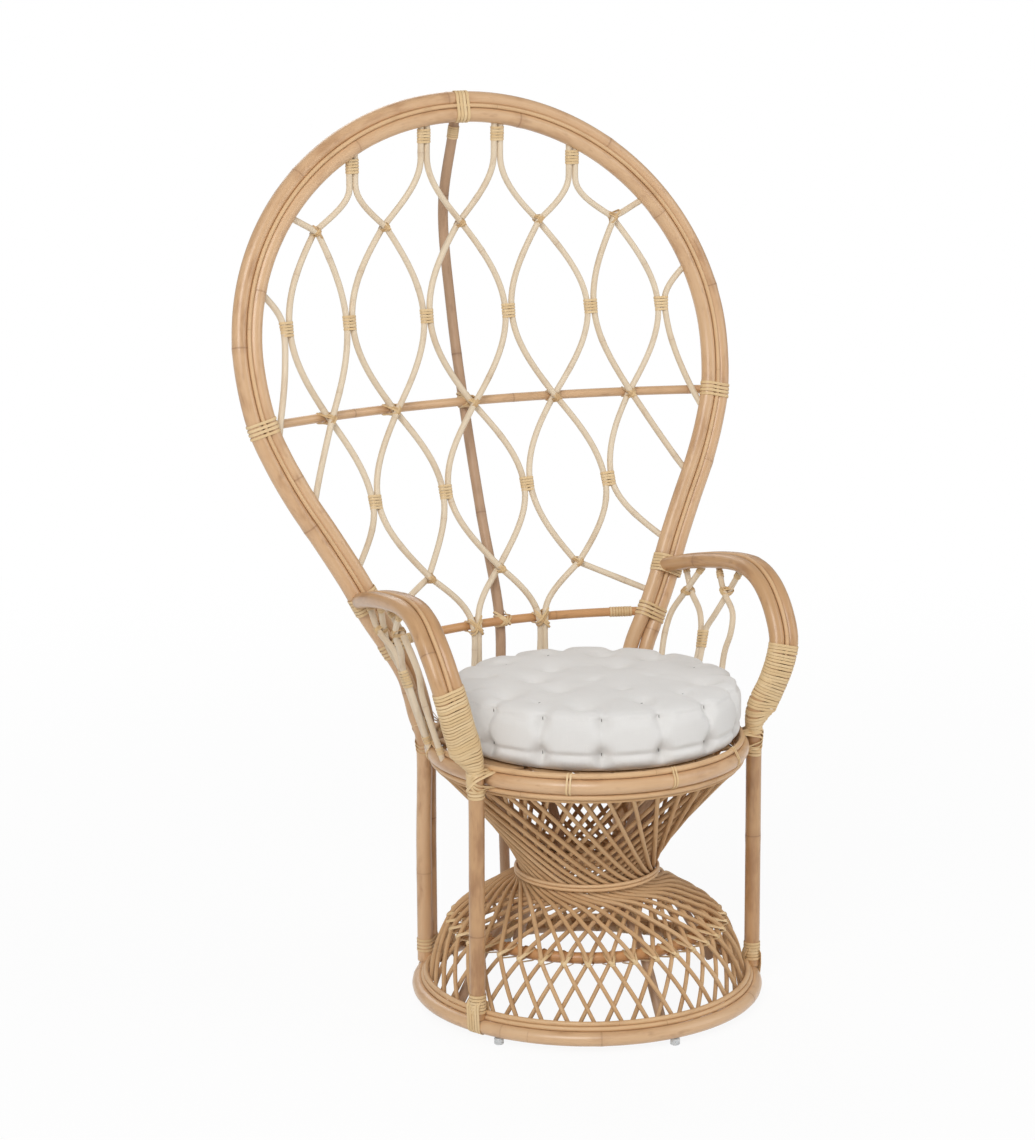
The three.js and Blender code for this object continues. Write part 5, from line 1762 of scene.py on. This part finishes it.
@dataclass
class Cushion(Assembly):
    """A loose round cushion: puffed cloth held down by tufts, its side sewn in along two rows."""

    pinches: int = 15
    first_pinch: float = -27.0
    row_shares: tuple[float, float] = (0.28, 0.80)
    pinch_depth: float = 0.008
    pinch_reach: float = 0.013
    row_depth: float = 0.0036
    row_reach: float = 0.085
    panel_depth: float = 0.0022
    panel_reach: float = 0.0055
    spoke_depth: float = 0.0036
    spoke_reach: float = 0.012
    tuft_depth: float = 0.0078
    tuft_reach: float = 0.021
    swell_cap: float = 0.024
    voxel: float = 0.005
    side_stitch: Point = (0.0006, 0.0008, 0.0028)
    top_stitch: Point = (0.0024, 0.0008, 0.0006)
    stitch_rise: float = 0.0004
    outer_tufts: int = 12
    tufts: Table = (
        (0.168, -83), (0.172, -59), (0.176, -35.5), (0.164, -3.4), (0.168, 25), (0.172, 55), (0.178, 85),
        (0.166, 116), (0.172, 146), (0.168, 176), (0.17, -154), (0.168, -121), (0.086, -68), (0.096, -2),
        (0.09, 62), (0.1, 128), (0.094, -165), (0.092, -118), (0.02, -27))

    def __post_init__(self) -> None:
        """Takes the middle and the half size of the room that the cushion has."""
        low, high = (Vector(corner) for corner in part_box("seat_cushion"))
        self.centre, self.half = np.array((low + high) / 2), (high - low) / 2

    def build(self) -> None:
        """Builds the cushion from a rounded drum, puffs it, draws its seams in and adds the stitches."""
        piece = self._drum()
        self._puff(piece)
        modified(piece, "SUBSURF", levels=1, render_levels=1)
        rows = self._fit(points_of(piece) - self.centre)
        move_points(piece, self._fit(self._drawn(rows, 1.0, 1.0)) + self.centre)
        self._lay_cloth(piece)
        settle(piece, 80)
        dress(piece, Finish.LINEN, ["seat_cushion"], CUSHION_BODY)
        self._stitches(piece)

    def _drum(self) -> Piece:
        """Models the drum with rounded rims and an even mesh, its tufts and rows already drawn in."""
        piece = added(bpy.ops.mesh.primitive_cylinder_add, vertices=150, radius=self.half.x * 0.955,
                      depth=self.half.z * 1.9, location=tuple(self.centre))
        piece.name = "linen_cushion"
        bpy.ops.object.transform_apply(location=True)
        modified(piece, "BEVEL", width=0.024, segments=6)
        modified(piece, "REMESH", mode="VOXEL", voxel_size=self.voxel)
        rows = points_of(piece) - self.centre
        move_points(piece, self._drawn(rows, 0.9, 0.6) + self.centre)
        return piece

    def _angles(self, rows: Rows) -> Rows:
        """Returns each point's azimuth in degrees from the nearest pinch."""
        azimuth = np.degrees(np.arctan2(rows[:, 0], -rows[:, 1])) - self.first_pinch
        pitch = 360 / self.pinches
        return (azimuth + pitch / 2) % pitch - pitch / 2

    def _held(self, rows: Rows) -> tuple[Rows, Rows]:
        """Measures how strongly thread holds each point.

        Args:
            rows: points from the cushion's middle.

        Returns:
            Strength of the nearest tuft on top and of the nearest pinch on the side, 0 to 1.
        """
        top = np.zeros(len(rows))
        for radius, azimuth in self.tufts:
            angle = math.radians(azimuth)
            gap = np.hypot(rows[:, 0] - radius * math.sin(angle), rows[:, 1] + radius * math.cos(angle))
            pull = 0.8 + 0.2 * math.sin(azimuth * 0.13 + radius * 40)
            top = np.maximum(top, pull * bell(gap, self.tuft_reach))
        radius = np.hypot(rows[:, 0], rows[:, 1])
        top *= rise(rows[:, 2] / self.half.z, 0.2, 0.4)
        span = np.radians(self._angles(rows)) * radius
        side = np.zeros(len(rows))
        for share in self.row_shares:
            gap = np.hypot(span, rows[:, 2] - (share * 2 - 1) * self.half.z)
            side = np.maximum(side, bell(gap, self.pinch_reach))
        return top, side * rise(radius / self.half.x, 0.78, 0.12)

    def _drawn(self, rows: Rows, spots: float, seams: float) -> Rows:
        """Draws tufts, pinches and sewn rows in.

        Args:
            rows: points from the cushion's middle.
            spots: share of the depth of tufts and pinches.
            seams: share of the depth of the rows and the seams between panels.

        Returns:
            The moved points.
        """
        top, side = self._held(rows)
        radius = np.maximum(np.hypot(rows[:, 0], rows[:, 1]), 1e-6)
        outside = rise(radius / self.half.x, 0.8, 0.14)
        span = np.radians(self._angles(rows)) * radius
        height = rows[:, 2] / self.half.z
        between = 1 - 0.45 * np.cos(np.pi * self._angles(rows) / (180 / self.pinches))
        rowed = sum(bell(height - (share * 2 - 1), self.row_reach) for share in self.row_shares)
        panel = bell(span, self.panel_reach) * rise(-np.abs(height), -0.95, 0.3)
        inward = outside * (spots * self.pinch_depth * side + seams * self.row_depth * rowed * between * 0.7
                            + seams * self.panel_depth * panel)
        shoulder = rise(height, 0.55, 0.3) * rise(radius / self.half.x, 0.62, 0.3)
        spoke = bell(span, self.spoke_reach) * shoulder
        down = spots * self.tuft_depth * top + seams * self.spoke_depth * spoke
        moved = rows.copy()
        moved[:, :2] *= (1 - inward / radius)[:, None]
        moved[:, 2] -= down
        return moved

    def _puff(self, piece: Piece) -> None:
        """Blows the cloth up with its tufts, pinches and underside held, and caps how far it moves."""
        select_only(piece)
        start = points_of(piece)
        rows = start - self.centre
        top, side = self._held(rows)
        under = rise(-rows[:, 2] / self.half.z, 0.72, 0.1)
        hold = np.maximum.reduce([rise(top, 0.72, 0.2), rise(side, 0.6, 0.25), under])
        group = piece.vertex_groups.new(name="sewn")
        for index in np.nonzero(hold > 0.02)[0]:
            group.add([int(index)], float(hold[index]), "REPLACE")
        cloth = piece.modifiers.new("cloth", "CLOTH")
        stiffness = {"tension_stiffness": 12, "compression_stiffness": 12, "shear_stiffness": 6,
                     "bending_stiffness": 0.6}
        for key, value in {"quality": 5, "mass": 0.3, **stiffness, "use_pressure": True,
                           "uniform_pressure_force": 4.0, "vertex_group_mass": group.name}.items():
            setattr(cloth.settings, key, value)
        cloth.settings.effector_weights.gravity = 0.0
        cloth.collision_settings.use_collision = False
        scene = bpy.context.scene
        for step in range(1, 21):
            scene.frame_set(step)
        bpy.ops.object.modifier_apply(modifier=cloth.name)
        scene.frame_set(1)
        moved = points_of(piece) - start
        length = np.maximum(np.linalg.norm(moved, axis=1), 1e-9)
        eased = self.swell_cap * np.tanh(length / self.swell_cap)
        move_points(piece, start + moved * (eased / length)[:, None])
        LOG.info("cushion puffed by up to %.1f mm", float(eased.max()) * 1000)

    def _fit(self, rows: Rows) -> Rows:
        """Returns points from the cushion's middle, scaled to just under the size of its room."""
        low, high = rows.min(axis=0), rows.max(axis=0)
        return (rows - (low + high) / 2) * (np.array(self.half) * 1.99 / (high - low))

    def _lay_cloth(self, piece: Piece) -> None:
        """Keeps the cloth's own coordinates: flat on top and below, unrolled along the side."""
        mesh = piece.data
        rows = points_of(piece) - self.centre
        corners = np.empty(len(mesh.loops), dtype=np.int64)
        mesh.loops.foreach_get("vertex_index", corners)
        totals = np.empty(len(mesh.polygons), dtype=np.int64)
        mesh.polygons.foreach_get("loop_total", totals)
        middles = np.empty(len(mesh.polygons) * 3)
        mesh.polygons.foreach_get("center", middles)
        middles = np.repeat(middles.reshape(-1, 3) - self.centre, totals, axis=0)
        places = rows[corners]
        reach = np.hypot(middles[:, 0], middles[:, 1])
        on_side = (reach > self.half.x * 0.9) & (middles[:, 2] < self.half.z * 0.62)
        azimuth = np.arctan2(middles[:, 0], -middles[:, 1])
        own = np.arctan2(places[:, 0], -places[:, 1])
        turn = azimuth + (own - azimuth + np.pi) % (2 * np.pi) - np.pi
        side = np.stack([turn * self.half.x, places[:, 2], np.ones(len(places))], -1)
        flat = np.stack([places[:, 0], places[:, 1], np.zeros(len(places))], -1)
        keep(piece, "cloth", np.where(on_side[:, None], side, flat), "CORNER")

    def _stitches(self, piece: Piece) -> None:
        """Sews a short grey thread at each pinch and outer tuft, on the cloth's surface.

        Args:
            piece: the cushion.
        """
        rows = points_of(piece) - self.centre
        reach = np.hypot(rows[:, 0], rows[:, 1])
        first = added(bpy.ops.mesh.primitive_uv_sphere_add, segments=10, ring_count=6, radius=1.0)
        unit = points_of(first)
        copies = []

        def sew(size: Point, place: Point) -> None:
            """Adds a thread of a half size at a place from the cushion's middle."""
            copies.append(twin_of(first, unit * np.array(size) + np.array(place) + self.centre))

        for index in range(self.pinches):
            angle = math.radians(self.first_pinch + 360 * index / self.pinches)
            outward = np.array([math.sin(angle), -math.cos(angle)])
            for share in self.row_shares:
                height = (share * 2 - 1) * self.half.z
                guess = np.array([*(outward * self.half.x * 0.95), height])
                near = np.argsort(np.linalg.norm(rows - guess, axis=1))[:6]
                depth = float(reach[near].min()) + self.stitch_rise
                sew(self.side_stitch, (*(outward * depth), height + self.rng.uniform(-0.001, 0.001)))
        for radius, azimuth in self.tufts[:self.outer_tufts]:
            angle = math.radians(azimuth)
            spot = np.array([radius * math.sin(angle), -radius * math.cos(angle)])
            near = np.argsort(np.hypot(*(rows[:, :2] - spot).T) + (rows[:, 2] < 0))[:6]
            sew(self.top_stitch, (*spot, float(rows[near, 2].min()) + self.stitch_rise))
        bpy.data.objects.remove(first)
        thread = joined(copies, "cushion_stitches")
        dress(thread, Finish.THREAD, (), CUSHION_BODY)


# Studio


@dataclass
class Studio:
    """Pale floor, soft lamps and the camera of the photograph."""

    camera_place: Point = (-2.2522, -3.8962, 1.6355)
    camera_aim: Point = (-0.0939, 0.0543, 0.6978)
    camera_roll: float = 0.34
    lens: float = 92.29
    sensor: float = 36.0
    lamps: tuple[tuple[str, Point, float, float], ...] = (
        ("key", (-3.6, -4.0, 4.6), 3.4, 231.0), ("fill", (4.2, -3.3, 3.0), 3.6, 70.0),
        ("rim", (0.9, 4.8, 3.9), 3.2, 70.0))
    lamp_aim: Point = (0, 0, 0.6)
    world_light: float = 0.42
    floor_colour: Colour = (0.9, 0.9, 0.9)
    floor_glow: float = 0.92

    def build(self) -> None:
        """Builds the floor, the lamps, the world and the camera."""
        self._floor()
        self._world()
        for lamp in self.lamps:
            self._lamp(*lamp)
        self._camera()
        bpy.context.scene.view_settings.view_transform = "Standard"

    def _floor(self) -> None:
        """Lays a wide pale floor that keeps the chair's shadow and fades to white round it."""
        floor = added(bpy.ops.mesh.primitive_plane_add, size=60)
        floor.name = "studio_floor"
        paint = Paint("pale_floor")
        floor.data.materials.append(paint.finish(Base_Color=self.floor_colour, Roughness=0.9))
        rays = paint.node("ShaderNodeLightPath")
        camera, glossy, through = (Value(paint, rays.outputs[f"Is {kind} Ray"])
                                   for kind in ("Camera", "Glossy", "Transmission"))
        seen = paint.maths("MAXIMUM", paint.maths("MAXIMUM", camera, glossy), through)
        place = paint.node("ShaderNodeSeparateXYZ", None,
                           {0: paint.node("ShaderNodeTexCoord").outputs["Object"]})
        east, north = Value(paint, place.outputs["X"]), Value(paint, place.outputs["Y"])
        far = ((east * east + north * north) ** 0.5).ramp(0.9, 3.5)
        glow = paint.node("ShaderNodeEmission", None, {"Color": (1.0, 1.0, 1.0), "Strength": 1.0})
        paint.show(seen * (far * (1 - self.floor_glow) + self.floor_glow), glow)

    def _world(self) -> None:
        """Fills the world with soft light that shows white behind the chair."""
        paint = Paint("studio_world", "worlds", "Background")
        bpy.context.scene.world = paint.finish(Color=(1.0, 1.0, 1.0), Strength=self.world_light)
        white = paint.node("ShaderNodeBackground", None, {"Color": (1.0, 1.0, 1.0), "Strength": 1.0})
        paint.show(paint.node("ShaderNodeLightPath").outputs["Is Camera Ray"], white)

    def _lamp(self, name: str, place: Point, size: float, power: float) -> None:
        """Hangs a square soft lamp that faces the chair.

        Args:
            name: of the lamp.
            place: where it hangs.
            size: of its side.
            power: in watts.
        """
        lamp = added(bpy.ops.object.light_add, type="AREA", location=place)
        lamp.name = name
        lamp.data.size = size
        lamp.data.energy = power
        aim = Vector(self.lamp_aim) - Vector(place)
        lamp.rotation_euler = aim.to_track_quat("-Z", "Y").to_euler()

    def _camera(self) -> None:
        """Puts the camera where the photograph's was."""
        place = chair_point(*self.camera_place)
        aim = chair_point(*self.camera_aim) - place
        camera = added(bpy.ops.object.camera_add, location=place)
        turn = Matrix.Rotation(math.radians(self.camera_roll), 4, aim.normalized())
        facing = turn @ aim.to_track_quat("-Z", "Y").to_matrix().to_4x4()
        camera.rotation_mode = "QUATERNION"
        camera.rotation_quaternion = facing.to_quaternion()
        camera.data.lens = self.lens
        camera.data.sensor_fit = "VERTICAL"
        camera.data.sensor_height = self.sensor
        bpy.context.scene.camera = camera


def main() -> None:
    """Builds the chair's sub-assemblies in order and then the studio."""
    logging.basicConfig(level=logging.INFO, format="%(name)s %(message)s")
    common = random.Random(SEED), ChairSizes()
    base, hourglass, hoop = Base(*common), Hourglass(*common), Hoop(*common)
    back, arms = Back(*common, hoop), Arms(*common, hoop)
    parts = [base, Seat(*common), hourglass, hoop, back, arms,
             Lashings(*common, base, hourglass, hoop, back, arms), Cushion(*common), Studio()]
    for part in parts:
        LOG.info("building %s", type(part).__name__)
        part.build()


if __name__ == "__main__":
    main()
